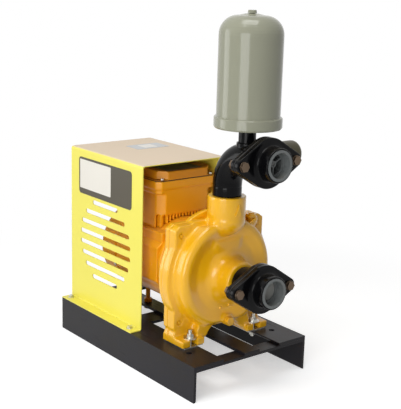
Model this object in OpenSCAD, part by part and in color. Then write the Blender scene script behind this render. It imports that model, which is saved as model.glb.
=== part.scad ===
// Variable speed booster pump set on a welded steel base.
// X runs across the base, Y along the motor axis with the ports at the front (-Y), Z is up.
// The set stands on Z = 0 and is centred on the origin in plan. All sizes are millimetres.
// Inside the modules Y is counted from the front end of the base; place() moves it to the origin.

/* [Base] */
// Overall width over the two base angles
base_w = 300; // [290:1:310]
// Length of the base angles
base_l = 500; // [500:1:520]
// Leg size of the base angles
angle_leg = 75; // [73:1:75]
// Thickness of the angles, cross bars and centre strip
angle_t = 6; // [5:1:6]
// Diameter of the anchor holes
anchor_d = 13; // [11:1:14]
// Distance between the two anchor holes
anchor_gap = 225; // [215:1:235]
// Anchor holes' distance from the front end
anchor_y = 64.5; // [55:1:70]
// Width of the centre strip under the pump
strip_w = 40; // [34:1:44]

/* [Pump casing] */
// Height of the shaft above the floor
axis_z = 213.5; // [213:0.5:214]
// Radius of the round casing flange
flange_r = 134; // [130:1:136]
// Half width of the square casing ears
ear_x = 116.5; // [115:0.5:118]
// Half height of the square casing ears
ear_z = 112.5; // [111:0.5:114]
// Radius of the ring that the volute runs on
volute_r = 106; // [105:0.5:107]
// Radius of the volute bulge's outer skin
volute_skin_r = 20; // [19:0.5:21]
// Wall thickness of the volute
casing_wall = 8; // [7:0.5:8]
// Radius of the suction nozzle's face
nozzle_r = 37; // [35:0.5:38]
// Radius of the discharge boss
boss_r = 39.5; // [38:0.5:40]
// Height of the discharge boss's top face
boss_top = 382; // [380:1:384]

/* [Impeller] */
// Outer diameter of the impeller
impeller_d = 156; // [150:1:160]
// Number of backward curved blades
blade_count = 6; // [5:1:7]
// Blade thickness
blade_t = 3.5; // [3:0.5:4]
// Number of blades on the motor's cooling fan
fan_blades = 8; // [6:1:10]

/* [Ports] */
// Height of the outlet port's axis
outlet_z = 468; // [468:1:470]
// Radius of the pipe socket in both ports
socket_r = 25.15; // [24.5:0.05:25.5]
// Depth of the pipe socket
socket_l = 18; // [16:1:18]
// Outer radius of the grey port rings
port_r = 30.5; // [30.5:0.1:30.6]
// Distance between the two bolts of each oval flange
flange_bolts = 135; // [134:1:136]
// Tilt of the suction flange as it was screwed in, degrees
suction_tilt = 2.4; // [0:0.1:3]
// Outer radius of the outlet elbow
elbow_r = 30; // [29:0.1:30.5]
// Bend radius of the outlet elbow
bend_r = 62; // [60:1:62]
// Travel of the check valve poppets
poppet_travel = 8; // [7:0.5:8]

/* [Motor] */
// Radius of the motor frame
motor_r = 93; // [93:0.1:93.1]
// Number of stator slots
stator_slots = 24; // [18:6:36]

/* [Cover] */
// Distance of the cover's left wall from the shaft
cover_left = 123.5; // [121:0.5:126]
// Distance of the cover's right wall from the shaft
cover_right = 99.5; // [99:0.5:103]
// Height of the cover's top
cover_top = 432; // [430:1:436]
// Sheet thickness of the cover
cover_t = 2; // [1.5:0.5:2]
// Height of each louvre slot
slot_h = 10; // [8:0.5:11]
// Distance from one slot to the next
slot_pitch = 24.5; // [24:0.5:25]

/* [Tank] */
// Diameter of the tank's body
tank_d = 126; // [125:1:128]
// Diameter of the tank's bottom band
band_d = 135; // [134:0.5:137]
// Height of the tank's underside
tank_z = 528; // [526:1:530]
// Height of the top of the tank's dome
tank_top = 748; // [746:1:750]
// Tank's distance behind the front end of the base
tank_y = 42; // [41:1:43]

/* [Hidden] */
$fn = 96;
front_reach = 56;
frame_y = -(base_l - front_reach) / 2;
rail_inner = base_w / 2 - angle_leg;

// Stations along the shaft, counted from the front end of the base
port_y = -front_reach;
front_flange_y = -27;
gasket_y = -17;
rear_flange_y = -15;
rear_flange_back = -5;
nozzle_y = 38;
volute_y = 101;
flange_face_y = 113;
spigot_y = 118;
parting_y = 135;
plate_back_y = 148;
lantern_back_y = 208;
frame_back_y = 362;
shield_back_y = 373;
cowl_back_y = 420;
fan_y = 378;

// Bearing sizes, the same at both ends
bearing_bore = 10;
bearing_r = 23.45;
bearing_w = 14;
bearing_pitch_r = 16.75;
ball_r = 3.8;
front_bearing_y = 196;
rear_bearing_y = 350;

// Cross bars of the base as [start, end] along Y
bar_spans = [[0, 33], [265, 315], [base_l - 33, base_l]];

// The volute's ring runs off centre, wide at the top left and narrow at the bottom right
volute_x = -2;
volute_rise = 4;
// Half height of the front casing between its ears, radius of the plate behind it
casing_half = 117;
plate_r = 132;

// Flange bolts of the casing, drain and priming plugs
bolt_x = 101;
bolt_z = 92;
drain_z = 116.5;
drain_y = 79;
priming_x = 80;
priming_y = 110;
priming_z = 323;

// Discharge boss and the feet of the casing
boss_y = 97;
shoulder_z = 338;
foot_y0 = 83;
foot_y1 = 152;
foot_x0 = 58;
foot_x1 = 115;
foot_stud_x = 86;
foot_stud_y = 97;
foot_slot_r = 9;
shim_t = 2;
foot_top = 91.5;

// Arms of the lantern and the screws between them, support post under the motor
lantern_arm_angles = [0, 90, 180, 270];
lantern_screw_r = 72;
post_y = 366;
post_top = 118;
cowl_screw_angles = [20, 160, 200, 340];

// Drive box: its centre line is off the shaft
box_mid_x = 5.5;
box_x = 80;
box_y0 = 235;
box_y1 = 390;
box_floor = 316;
box_band = 373;
box_rim = 390;
gasket_t = 1.5;
lid_top = 411;
lid_screw_x = 65.5;
lid_screw_ys = [box_y0 + 4.5, box_y1 - 6.5];
gland_xs = [-28, 28];
gland_z = 345;
gland_bore_r = 5;
board_z = 334;
shelf_top = 286;
shelf_bottom = 268;

// Sheet cover: its ends, its screws and the louvre pattern, bottom row first
cover_y0 = 219.5;
cover_y1 = base_l;
left_screw_x = -136;
right_screw_x = 125;
cover_screw_ys = [cover_y0 + 23, cover_y1 - 17];
slot_lengths = [100, 156, 185, 198, 198, 188, 154, 99];
slot_mid_y = 361;
slot_low_z = 147;

// Elbow, the branch of the transmitter and the tank's nipple
elbow_bore = 21;
branch_y = 36;
nipple_r = 17.4;
nipple_bore = 8;
nipple_z = 492;

// Check valves in the two ports
valve_tail_y = -4.6;
valve_chamber_r = 26;
suction_seat_y = -34;
outlet_seat_y = -10;
seat_r = 20;
poppet_r = 23;
poppet_t = 5;
stem_r = 3;
stem_l = 24;
guide_r = 7;
spider_t = 4;
wire_r = 0.6;
solid_coils = 6;

// Colours
yellow = "#E1AA2D";
orange = "#CD8C23";
lemon = "#F5EB6E";
black = "#1A1A1C";
steel = "#B9B9B4";
grey = "#78786F";
olive = "#A5A896";
copper = "#B06A3A";
dark = "#3A3632";

// Helpers

// Moves a piece from the front end of the base to the object's origin
module place() {
    translate([0, frame_y, 0]) children();
}

// Revolves a profile of [radius, y] points about an axis along Y at height z
module spin_y(z = axis_z, x = 0) {
    translate([x, 0, z]) rotate([-90, 0, 0]) rotate_extrude() children();
}

// A rod along Y from y0 to y1
module rod_y(r, y0, y1, x = 0, z = axis_z) {
    translate([x, y0, z]) rotate([-90, 0, 0]) cylinder(r = r, h = y1 - y0);
}

// A rod along Z from z0 to z1
module rod_z(r, z0, z1, x = 0, y = 0) {
    translate([x, y, z0]) cylinder(r = r, h = z1 - z0);
}

// A hexagon rod across the flats along Y
module hex_y(flats, y0, y1, x = 0, z = axis_z) {
    translate([x, y0, z]) rotate([-90, 0, 0]) cylinder(r = flats / sqrt(3), h = y1 - y0, $fn = 6);
}

// A hexagon rod across the flats along Z
module hex_z(flats, z0, z1, x = 0, y = 0) {
    translate([x, y, z0]) cylinder(r = flats / sqrt(3), h = z1 - z0, $fn = 6);
}

// A block from one corner to the other
module block(lo, hi) {
    translate(lo) cube(hi - lo);
}

// Extrudes a front view (x, z) from y0 to y1
module front_slab(y0, y1) {
    translate([0, y1, 0]) rotate([90, 0, 0]) linear_extrude(y1 - y0) children();
}

// The same child on the left and on the right
module both_sides() {
    children();
    mirror([1, 0, 0]) children();
}

// Points of an arc about [cx, cy]
function arc(cx, cy, r, a0, a1, n = 10) =
    [for (i = [0:n]) let (a = a0 + (a1 - a0) * i / n) [cx + r * cos(a), cy + r * sin(a)]];

// A rectangle with round corners, true arcs
module round_rect(w, h, r) {
    square([w - 2 * r, h], center = true);
    square([w, h - 2 * r], center = true);
    for (x = [-1, 1], y = [-1, 1])
        translate([x * (w / 2 - r), y * (h / 2 - r)]) circle(r);
}

// A block with round vertical edges
module round_block(x, y0, y1, z0, z1, r) {
    translate([0, (y0 + y1) / 2, z0]) linear_extrude(z1 - z0) round_rect(2 * x, y1 - y0, r);
}

// Base

// Section of one angle: upright leg outside, flat leg on top
module angle_section() {
    root_r = 8;
    toe_r = 4;
    outer = base_w / 2;
    inner = outer - angle_t;
    under = angle_leg - angle_t;
    polygon(concat(
        [[outer, 0], [outer, angle_leg], [rail_inner, angle_leg]],
        arc(rail_inner + toe_r, under + toe_r, toe_r, 180, 270, 6),
        arc(inner - root_r, under - root_r, root_r, 90, 0, 6),
        arc(inner + toe_r, toe_r, toe_r, 180, 270, 6)
    ));
}

module rail(screw_x) {
    difference() {
        front_slab(0, base_l) angle_section();
        rod_z(anchor_d / 2, 60, 80, anchor_gap / 2, anchor_y);
        rod_z(4.5, 60, 80, foot_stud_x, foot_stud_y);
        for (y = cover_screw_ys) rod_z(3.3, 60, 80, screw_x, y);
    }
}

module left_rail() {
    color(black) place() mirror([1, 0, 0]) rail(-left_screw_x);
}

module right_rail() {
    color(black) place() rail(right_screw_x);
}

// Flats welded between the upright legs, under the top legs

module crossbars() {
    half = base_w / 2 - angle_t;
    top = angle_leg - angle_t;
    color(black) place() difference() {
        intersection() {
            union() for (span = bar_spans)
                block([-half, span[0], top - angle_t], [half, span[1], top]);
            front_slab(0, base_l) polygon(concat(
                arc(half - 8, top - 8, 8, 0, 90, 6),
                arc(8 - half, top - 8, 8, 90, 180, 6),
                [[-half, 0], [half, 0]]
            ));
        }
        for (x = [left_screw_x, right_screw_x]) rod_z(3.3, 60, 80, x, cover_screw_ys[1]);
    }
}

module centre_strip() {
    color(black) place() difference() {
        block([-strip_w / 2, 0, angle_leg - angle_t], [strip_w / 2, base_l, angle_leg]);
        rod_z(5.4, 60, 80, 0, post_y);
    }
}

// Casing

// Front view of a casing flange: a disc, cut level above and below, with square, chamfered ears
module flange_outline(r, above, below) {
    chamfer = [12, 8];
    intersection() {
        circle(r);
        translate([-r, -below]) square([2 * r, above + below]);
    }
    polygon([
        for (s = [[1, 1], [-1, 1], [-1, -1], [1, -1]])
            for (k = s[0] * s[1] > 0 ? [0, 1] : [1, 0])
                [s[0] * (ear_x - k * chamfer[0]), s[1] * (ear_z - (1 - k) * chamfer[1])]
    ]);
}

// Dished face that sweeps up into the suction nozzle, as [radius, y]
function dish_skin() = let (blend = 26, mouth = nozzle_r + 3) concat(
    [[0, parting_y], [96, parting_y], [96, 96], [80, 90.5]],
    arc(mouth + blend, 62, blend, 100, 180, 10),
    [[mouth - 0.5, 46], [mouth - 1.5, nozzle_y + 2], [nozzle_r, nozzle_y], [0, nozzle_y]]
);

// Bulge of the volute as [radius, y] about its own centre line
function bulge_skin() = concat(
    [[72, spigot_y], [72, 92.1]],
    arc(volute_r, volute_y, volute_skin_r, -110, -25, 9),
    [[flange_r - 2.5, flange_face_y], [flange_r - 2.5, spigot_y]]
);

// Revolves a profile about the volute's own centre line
module spin_volute() {
    spin_y(axis_z + volute_rise, volute_x) children();
}

// Side view of the front casing, extruded across: level on top, curved up to the front below
module casing_window(inset) {
    translate([-flange_r, 0, axis_z]) rotate([90, 0, 90]) linear_extrude(2 * flange_r) polygon(concat(
        [[parting_y, inset - casing_half], [parting_y, casing_half - inset], [nozzle_y, casing_half - inset]],
        arc(122, 55 - casing_half, 55 - inset, -150, -90, 10)
    ));
}

// Water space: suction eye, impeller chamber and the volute's ring
module casing_cavity() {
    spin_y() polygon([
        [0, nozzle_y - 1], [24.1, nozzle_y - 1], [24.1, 58], [21, 58], [21, 64], [32.3, 64], [32.3, 86],
        [38, 95], [88, 103.5], [100, 103.5], [100, spigot_y - 1], [0, spigot_y - 1]
    ]);
    intersection() {
        spin_volute() translate([volute_r, volute_y]) circle(volute_skin_r - casing_wall);
        casing_window(casing_wall);
    }
    rod_y(98.3, spigot_y - 1, parting_y + 1);
    rod_z(18, axis_z + volute_r - 2, boss_top - 24, 0, boss_y);
    rod_z(24.1, boss_top - 24, boss_top + 1, 0, boss_y);
}

// One foot of the casing: a block on the rail with a slot open to the front, and the web up to the ear
module foot(y0, y1) {
    sole = angle_leg + shim_t;
    difference() {
        union() {
            block([foot_x0, y0, sole], [foot_x1, y1, foot_top]);
            front_slab(max(y0, flange_face_y), min(y1, plate_back_y)) polygon([
                [76, sole], [foot_x1, sole], [ear_x, foot_top + 2], [ear_x - 6, axis_z - ear_z + 8],
                [ear_x - 6, axis_z - ear_z + 16], [76, axis_z - ear_z + 16]
            ]);
        }
        rod_z(foot_slot_r, 70, foot_top + 1, foot_stud_x, foot_stud_y);
        block([foot_stud_x - foot_slot_r, foot_y0 - 1, 70],
            [foot_stud_x + foot_slot_r, foot_stud_y, foot_top + 1]);
    }
}

module casing_bolt_holes(r, y0, y1) {
    for (x = [-1, 1], z = [-1, 1]) rod_y(r, y0, y1, x * bolt_x, axis_z + z * bolt_z);
}

// Solid outer form of the front casing
module casing_body() {
    intersection() {
        union() {
            spin_y() polygon(dish_skin());
            spin_volute() polygon(bulge_skin());
        }
        casing_window(0);
    }
    front_slab(flange_face_y, parting_y) translate([0, axis_z])
        flange_outline(flange_r, casing_half, casing_half);
    both_sides() foot(foot_y0, parting_y);
    // discharge boss on a round shoulder that sinks into the volute
    rod_z(boss_r, shoulder_z, boss_top, 0, boss_y);
    difference() {
        translate([0, boss_y, shoulder_z]) sphere(boss_r + 1);
        block([-50, parting_y, 290], [50, parting_y + 10, 390]);
        rod_z(boss_r + 2, shoulder_z, 390, 0, boss_y);
    }
    // priming boss behind the discharge
    rod_z(14, 290, priming_z, priming_x, priming_y);
    // drain boss at the lowest point of the volute
    rod_y(14.5, drain_y, volute_y - 1, 0, drain_z);
    // bare raised pad on the dished face
    front_slab(80, 96) translate([0, 279.5]) square([74, 19], center = true);
    // gussets from the inner prongs of the feet up to the volute
    both_sides() front_slab(92, flange_face_y) polygon([
        [foot_x0 + 2, foot_top - 10], [50, 86], [27, 104], [22, 118], [60, 130], [71, 122], [71, foot_top - 10]
    ]);
}

// Raised arrow on the discharge boss that shows the flow direction
module flow_arrow() {
    intersection() {
        rod_z(boss_r + 1.5, 340, 378, 0, boss_y);
        translate([0, boss_y, 0]) rotate([0, 0, 25]) front_slab(-60, 0)
            polygon([[-7, 345], [7, 345], [0, 372]]);
    }
}

module volute_casing() {
    color(yellow) place() difference() {
        union() {
            casing_body();
            flow_arrow();
        }
        casing_cavity();
        rod_y(5.1, drain_y - 1, volute_y, 0, drain_z);
        rod_z(8.1, 285, priming_z + 1, priming_x, priming_y);
        rod_z(12.5, priming_z, priming_z + 12, priming_x, priming_y);
        casing_bolt_holes(4.5, flange_face_y - 1, parting_y + 1);
    }
}

module casing_back_plate() {
    color(yellow) place() difference() {
        union() {
            front_slab(parting_y, plate_back_y) translate([0, axis_z])
                flange_outline(plate_r, plate_r, casing_half);
            rod_y(98, spigot_y, parting_y + 1);
            rod_y(30, parting_y, plate_back_y + 3);
            both_sides() foot(parting_y, foot_y1);
        }
        // groove for the seal ring, round the register
        spin_y() translate([94.5, 124]) square([10, 3.6]);
        // seal pocket, seat counterbore and shaft hole
        rod_y(26, spigot_y - 1, parting_y + 1);
        rod_y(18, parting_y, 144);
        rod_y(13, 140, plate_back_y + 4);
        casing_bolt_holes(4.1, parting_y - 1, plate_back_y + 1);
        // relief behind the discharge boss
        rod_z(boss_r + 0.5, shoulder_z - 10, boss_top, 0, boss_y);
        for (a = lantern_arm_angles) lantern_screw_place(a) cylinder(r = 4.1, h = 30);
    }
}

module casing_seal_ring() {
    color(dark) place() spin_y() translate([96.3, 125.8]) circle(1.7);
}

// Places a child on the bolt circle of the lantern, local +Z pointing to the rear
module lantern_screw_place(a) {
    translate([lantern_screw_r * cos(a + 45), parting_y - 1, axis_z + lantern_screw_r * sin(a + 45)])
        rotate([-90, 0, 0]) children();
}

module casing_bolts() {
    color(steel) place() {
        for (x = [-1, 1], z = [-1, 1]) {
            rod_y(4, flange_face_y + 0.2, plate_back_y, x * bolt_x, axis_z + z * bolt_z);
            hex_y(13, plate_back_y, plate_back_y + 6, x * bolt_x, axis_z + z * bolt_z);
        }
        for (a = lantern_arm_angles) lantern_screw_place(a) {
            translate([0, 0, 4]) cylinder(r = 4, h = 24);
            translate([0, 0, 20]) cylinder(r = 13 / sqrt(3), h = 6.5, $fn = 6);
        }
    }
}

// Impeller

// One blade: a stretch of ring between the hub and the rim, leaning back against the turn
module blade_section() {
    lean_r = 58;
    reach = impeller_d / 2;
    intersection() {
        difference() {
            translate([0, lean_r - 12]) circle(lean_r);
            translate([0, lean_r - 12]) circle(lean_r - blade_t);
        }
        difference() {
            circle(reach - 0.5);
            circle(22);
        }
        translate([0, -100]) square([200, 200 + reach]);
    }
}

module impeller() {
    reach = impeller_d / 2;
    color("#A98A4B") place() difference() {
        union() {
            // rear disc with its hub
            spin_y() polygon([
                [0, 92], [7, 93], [13, 98], [17, 106], [24, 110.5], [reach, 111.5], [reach, 114.5],
                [20, 115.5], [17, 124], [0, 124]
            ]);
            // front disc with the eye ring
            spin_y() polygon([
                [29, 66], [32, 66], [32, 88], [37.5, 97], [reach, 105], [reach, 107.5], [36, 100], [29, 90]
            ]);
            // blades between the two discs
            intersection() {
                translate([0, 0, axis_z]) for (i = [0:blade_count - 1])
                    rotate([0, i * 360 / blade_count, 0]) front_slab(90, 112.5) blade_section();
                spin_y() polygon([[0, 92], [29, 92], [36, 98.5], [reach, 106], [reach, 112.5], [0, 112.5]]);
            }
        }
        rod_y(8, 98, 125);
        // balance holes through the rear disc
        for (i = [0:blade_count - 1]) rotate_about_axis(30 + i * 360 / blade_count)
            rod_y(2.5, 100, 120, 23.5, 0);
    }
}

// Turns a child about the shaft axis
module rotate_about_axis(a) {
    translate([0, 0, axis_z]) rotate([0, a, 0]) children();
}

module seal_seat() {
    color("#D8D4C8") place() spin_y() difference() {
        translate([11.5, 136]) square([6.4, 8]);
        translate([17.0, 139]) square([1, 2]);
    }
}

module seal_head() {
    color("#2B2B2B") place() spin_y() union() {
        translate([10, 130]) square([6.5, 5.9]);
        translate([10, 129]) square([8, 2.5]);
    }
}

module seal_spring() {
    turns = 3;
    color(steel) place() spin_y() for (i = [0:turns])
        translate([12.8 + 0.6 * (i % 2), 124.7 + i * 1.15]) circle(wire_r - 0.05);
}

module drain_plug() {
    color(yellow) place() union() {
        hex_y(17, drain_y - 9, drain_y - 3, 0, drain_z);
        rod_y(9.8, drain_y - 3, drain_y, 0, drain_z);
        rod_y(5, drain_y, drain_y + 15, 0, drain_z);
    }
}

module priming_plug() {
    color(yellow) place() union() {
        rod_z(11.5, priming_z, priming_z + 7, priming_x, priming_y);
        hex_z(12, priming_z + 7, priming_z + 9, priming_x, priming_y);
        rod_z(8, priming_z - 19, priming_z, priming_x, priming_y);
    }
}

module foot_fastener(x) {
    top = foot_top;
    difference() {
        block([x - 24, foot_y0, angle_leg], [x + 24, foot_y1, angle_leg + shim_t]);
        rod_z(4.5, 70, 80, x, foot_stud_y);
    }
    rod_z(4, 58, top + 18, x, foot_stud_y);
    for (zs = [[top, top + 1.6, 14], [top + 1.6, top + 3.2, 8]]) difference() {
        rod_z(zs[2], zs[0], zs[1], x, foot_stud_y);
        rod_z(4.1, zs[0] - 1, zs[1] + 1, x, foot_stud_y);
    }
    for (z = [top + 3.2, angle_leg - angle_t - 6.8]) difference() {
        hex_z(13, z, z + 6.5, x, foot_stud_y);
        rod_z(4.1, z - 1, z + 7.5, x, foot_stud_y);
    }
}

module foot_fasteners() {
    color(steel) place() for (s = [-1, 1]) foot_fastener(s * foot_stud_x);
}

// Motor

// Front view of the frame's sides: shelf, groove, squared flank and its lower bevel
module frame_sides(cut_r) {
    side = motor_r - 0.5;
    difference() {
        union() {
            translate([-80, shelf_bottom]) square([160, shelf_top - shelf_bottom]);
            translate([-76, axis_z]) square([152, shelf_bottom - axis_z + 1]);
            polygon([
                [79, shelf_bottom - 2.5], [side, axis_z + 42], [side, axis_z - 32], [85, axis_z - 40],
                [-85, axis_z - 40], [-side, axis_z - 32], [-side, axis_z + 42], [-79, shelf_bottom - 2.5]
            ]);
        }
        translate([0, axis_z]) circle(cut_r);
    }
}

module motor_frame() {
    color(orange) place() difference() {
        union() {
            rod_y(motor_r, lantern_back_y, frame_back_y);
            front_slab(lantern_back_y, frame_back_y) frame_sides(motor_r - 2);
        }
        rod_y(84.1, lantern_back_y - 5, frame_back_y + 1);
        // small tapped hole on the left side
        translate([-motor_r - 1, 228, 217]) rotate([0, 90, 0]) cylinder(r = 2.5, h = 6);
    }
}

// Lantern between the pump and the motor, with the front bearing's housing
module front_endshield() {
    color(orange) place() difference() {
        union() {
            spin_y() difference() {
                translate([56, plate_back_y]) square([36, 6]);
                translate([0, plate_back_y - 1]) square([56, 8]);
            }
            spin_y() polygon([
                [26, 190], [30, 186], [32, 192], [70, 197], [90, 197], [motor_r, 199],
                [motor_r, lantern_back_y], [84, lantern_back_y], [84, 216], [80, 216], [80, 210],
                [30, 212], [26, 212]
            ]);
            spin_y() translate([20, 186]) square([12, 26]);
            for (a = lantern_arm_angles) rotate_about_axis(a) {
                block([70, plate_back_y, -8], [92, 204, 8]);
                block([66, plate_back_y, -12], [72, 204, 12]);
            }
        }
        rod_y(bearing_r + 0.05, front_bearing_y, 220);
        rod_y(18, 180, 220);
        for (a = lantern_arm_angles) lantern_screw_place(a)
            translate([0, 0, 10]) cylinder(r = 4.1, h = 14);
    }
}

module rear_endshield() {
    color(orange) place() difference() {
        union() {
            spin_y() polygon([
                [20, rear_bearing_y - 2], [28, rear_bearing_y - 2], [30, frame_back_y - 2],
                [80, frame_back_y - 2], [80, frame_back_y - 10], [84, frame_back_y - 10],
                [84, frame_back_y], [motor_r, frame_back_y], [motor_r, shield_back_y],
                [88, shield_back_y], [84, 368], [30, 368], [28, 372], [20, 372]
            ]);
            // flat lug that the support post carries
            block([-11, frame_back_y, post_top], [11, shield_back_y, axis_z - 85]);
        }
        rod_y(bearing_r + 0.05, rear_bearing_y - 3, 366);
        rod_y(14, 340, 380);
        for (a = cowl_screw_angles) rotate_about_axis(a)
            translate([80, 368, 0]) rotate([0, 90, 0]) cylinder(r = 2.1, h = 20);
    }
}

// Ring of stator plates with open slots towards the bore
module stator_core() {
    color(grey) place() difference() {
        spin_y() translate([50, 232]) square([34, 100]);
        for (i = [0:stator_slots - 1]) rotate_about_axis(i * 360 / stator_slots)
            block([49, 231, -3], [71, 333, 3]);
    }
}

module stator_windings() {
    color(copper) place() {
        for (y = [219, 334]) spin_y() translate([63, y + 5.5]) round_rect(18, 13, 4);
        for (i = [0:stator_slots - 1]) rotate_about_axis(i * 360 / stator_slots)
            block([56, 230, -2.5], [70, 335, 2.5]);
    }
}

module rotor_core() {
    color(steel) place() {
        spin_y() union() {
            translate([13.05, 232]) square([36.35, 100]);
            for (y = [226, 332]) translate([32, y]) square([17, 6]);
        }
        for (i = [0:7]) rotate_about_axis(i * 45)
            for (y = [219, 336]) block([34, y, -1.5], [47, y + 9, 1.5]);
    }
}

module shaft() {
    color(steel) place() spin_y() polygon([
        [0, 98.2], [7, 98.2], [7.95, 99.2], [7.95, 124], [bearing_bore, 124],
        [bearing_bore, 212], [13, 212], [13, 350], [bearing_bore, 350], [bearing_bore, 368],
        [8, 368], [8, 399], [7, 400], [0, 400]
    ]);
}

// Rings of one ball bearing; the groove clears or seats the balls
module bearing_ring(inside, y0) {
    mid = y0 + bearing_w / 2;
    spin_y() difference() {
        if (inside) translate([bearing_bore, y0]) square([4.4, bearing_w]);
        else translate([19, y0]) square([bearing_r - 19, bearing_w]);
        translate([bearing_pitch_r, mid]) circle(inside ? ball_r + 0.3 : ball_r);
    }
}

module front_bearing_outer() {
    color(steel) place() bearing_ring(false, front_bearing_y);
}

module front_bearing_inner() {
    color(steel) place() bearing_ring(true, front_bearing_y);
}

module rear_bearing_outer() {
    color(steel) place() bearing_ring(false, rear_bearing_y);
}

module rear_bearing_inner() {
    color(steel) place() bearing_ring(true, rear_bearing_y);
}

module bearing_balls() {
    count = 8;
    color(steel) place() for (y = [front_bearing_y, rear_bearing_y], i = [0:count - 1])
        rotate_about_axis(i * 360 / count)
            translate([bearing_pitch_r, y + bearing_w / 2, 0]) sphere(ball_r - 0.02, $fn = 24);
}

module wave_washer() {
    color(steel) place() spin_y() translate([17, 364.4]) square([6, 1.2]);
}

module water_slinger() {
    color(dark) place() spin_y() polygon([
        [bearing_bore, 164], [14, 164], [14, 168], [25, 170], [25, 172], [14, 173], [bearing_bore, 173]
    ]);
}

module cooling_fan() {
    color(dark) place() {
        spin_y() polygon([
            [8, fan_y], [14, fan_y], [40, fan_y + 1], [40, fan_y + 4], [14, fan_y + 6], [14, 396], [8, 396]
        ]);
        for (i = [0:fan_blades - 1]) rotate_about_axis(i * 360 / fan_blades)
            block([13, fan_y + 2, -1.2], [80, 398, 1.2]);
    }
}

module fan_cowl() {
    skin = 1.6;
    cowl_r = motor_r + 1.8;
    color(orange) place() difference() {
        spin_y() polygon(concat(
            [[cowl_r, 364], [cowl_r, 412]], arc(cowl_r - 8, 412, 8, 0, 90, 6),
            [[0, cowl_back_y], [0, cowl_back_y - skin]],
            arc(cowl_r - 8, 412, 8 - skin, 90, 0, 6), [[cowl_r - skin, 364]]
        ));
        // rings of air holes at the back
        for (ring = [[22, 8], [38, 14], [54, 20], [70, 26]]) for (i = [0:ring[1] - 1])
            rotate_about_axis(i * 360 / ring[1]) rod_y(4.5, 410, 425, ring[0], 0);
        for (a = cowl_screw_angles) rotate_about_axis(a)
            translate([85, 368, 0]) rotate([0, 90, 0]) cylinder(r = 2.3, h = 20);
        // room for the lug of the rear endshield
        block([-11.5, 360, 100], [11.5, shield_back_y + 0.5, axis_z - 80]);
    }
}

module cowl_screws() {
    color(steel) place() for (a = cowl_screw_angles) rotate_about_axis(a) translate([0, 368, 0]) {
        translate([84, 0, 0]) rotate([0, 90, 0]) cylinder(r = 2, h = 10.8);
        translate([motor_r + 1.8, 0, 0]) rotate([0, 90, 0]) cylinder(r = 3.8, h = 2.2);
    }
}

module motor_support_post() {
    color(orange) place() difference() {
        union() {
            rod_z(5.2, 58, post_top, 0, post_y);
            hex_z(17, angle_leg, angle_leg + 8, 0, post_y);
            hex_z(17, 60, angle_leg - angle_t, 0, post_y);
            hex_z(15, post_top - 8, post_top, 0, post_y);
        }
        rod_z(2, 57, 66, 0, post_y);
    }
}

// Drive

// Cuts what stands under the box back to the round motor below it
module clear_of_motor() {
    difference() {
        children();
        rod_y(motor_r + 1, 190, 364);
        rod_y(motor_r + 3, 363, 430);
    }
}

// A block with bevelled upright corners on the drive's centre line
module drive_block(x, y0, y1, z0, z1, leg) {
    translate([box_mid_x, 0, z0]) linear_extrude(z1 - z0) polygon([
        [-x, y0 + leg], [leg - x, y0], [x - leg, y0], [x, y0 + leg],
        [x, y1 - leg], [x - leg, y1], [leg - x, y1], [-x, y1 - leg]
    ]);
}

// Bores for the four lid screws
module lid_screw_bores(r, z0, z1) {
    for (x = [-1, 1], y = lid_screw_ys) rod_z(r, z0, z1, box_mid_x + x * lid_screw_x, y);
}

module drive_box() {
    fin_t = 3.6;
    fin_step = 8.4;
    neck_z = 362;
    color(orange) place() difference() {
        union() {
            drive_block(box_x - 8, box_y0, box_y1 - 2, box_floor, neck_z, 16);
            drive_block(box_x - 3, box_y0, box_y1 - 2, neck_z, box_band, 9);
            drive_block(box_x, box_y0 - 2, box_y1, box_band, box_rim, 11);
            // cooling fins, wide ribs and outer skirts
            clear_of_motor() translate([box_mid_x, 0, 0]) {
                for (i = [-6:6]) block([i * fin_step - fin_t / 2, box_y0 + 1, shelf_top + 2],
                    [i * fin_step + fin_t / 2, box_y1 - 6, box_floor]);
                both_sides() block([57, box_y0 + 6, shelf_top + 1], [65, frame_back_y, box_floor]);
                both_sides() block([68.5, box_y0 + 17, shelf_top], [box_x - 8, frame_back_y, box_floor]);
            }
        }
        drive_block(box_x - 14, box_y0 + 9, box_y1 - 11, box_floor + 6, 400, 12);
        lid_screw_bores(2.6, box_band - 2, box_rim + 1);
        for (x = gland_xs) rod_y(8.1, box_y1 - 20, box_y1 + 2, x, gland_z);
    }
    // standoffs of the circuit board
    color(orange) place() for (x = [-50, 60], y = [262, 362])
        rod_z(4, box_floor + 6, board_z, x, y);
}

module drive_lid() {
    base_z = box_rim + gasket_t;
    crown = 3;
    color(orange) place() difference() {
        union() {
            drive_block(box_x, box_y0 - 2, box_y1, base_z, base_z + 1.6, 11);
            intersection() {
                drive_block(box_x - 9, box_y0 - 1.5, box_y1 - 0.5, base_z, lid_top, 19);
                // bevelled rim of the crown, seen from the front and from the side
                front_slab(box_y0 - 2, box_y1) translate([box_mid_x, 0]) polygon([
                    [9 - box_x, base_z], [9 - box_x, lid_top - crown], [9 + crown - box_x, lid_top],
                    [box_x - crown - 9, lid_top], [box_x - 9, lid_top - crown], [box_x - 9, base_z]
                ]);
                translate([-100, 0, 0]) rotate([90, 0, 90]) linear_extrude(200) polygon([
                    [box_y0 - 2, base_z], [box_y0 - 2, lid_top - crown], [box_y0 + crown - 1, lid_top],
                    [box_y1 - crown, lid_top], [box_y1, lid_top - crown], [box_y1, base_z]
                ]);
            }
        }
        drive_block(box_x - 14, box_y0 + 9, box_y1 - 11, base_z - 1, base_z + 13, 14);
        lid_screw_bores(2.7, base_z - 1, base_z + 3);
        // recess of the dark panel
        block([-46, box_y0 + 3, lid_top - 1.6], [47, 352, lid_top + 2]);
    }
}

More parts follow.
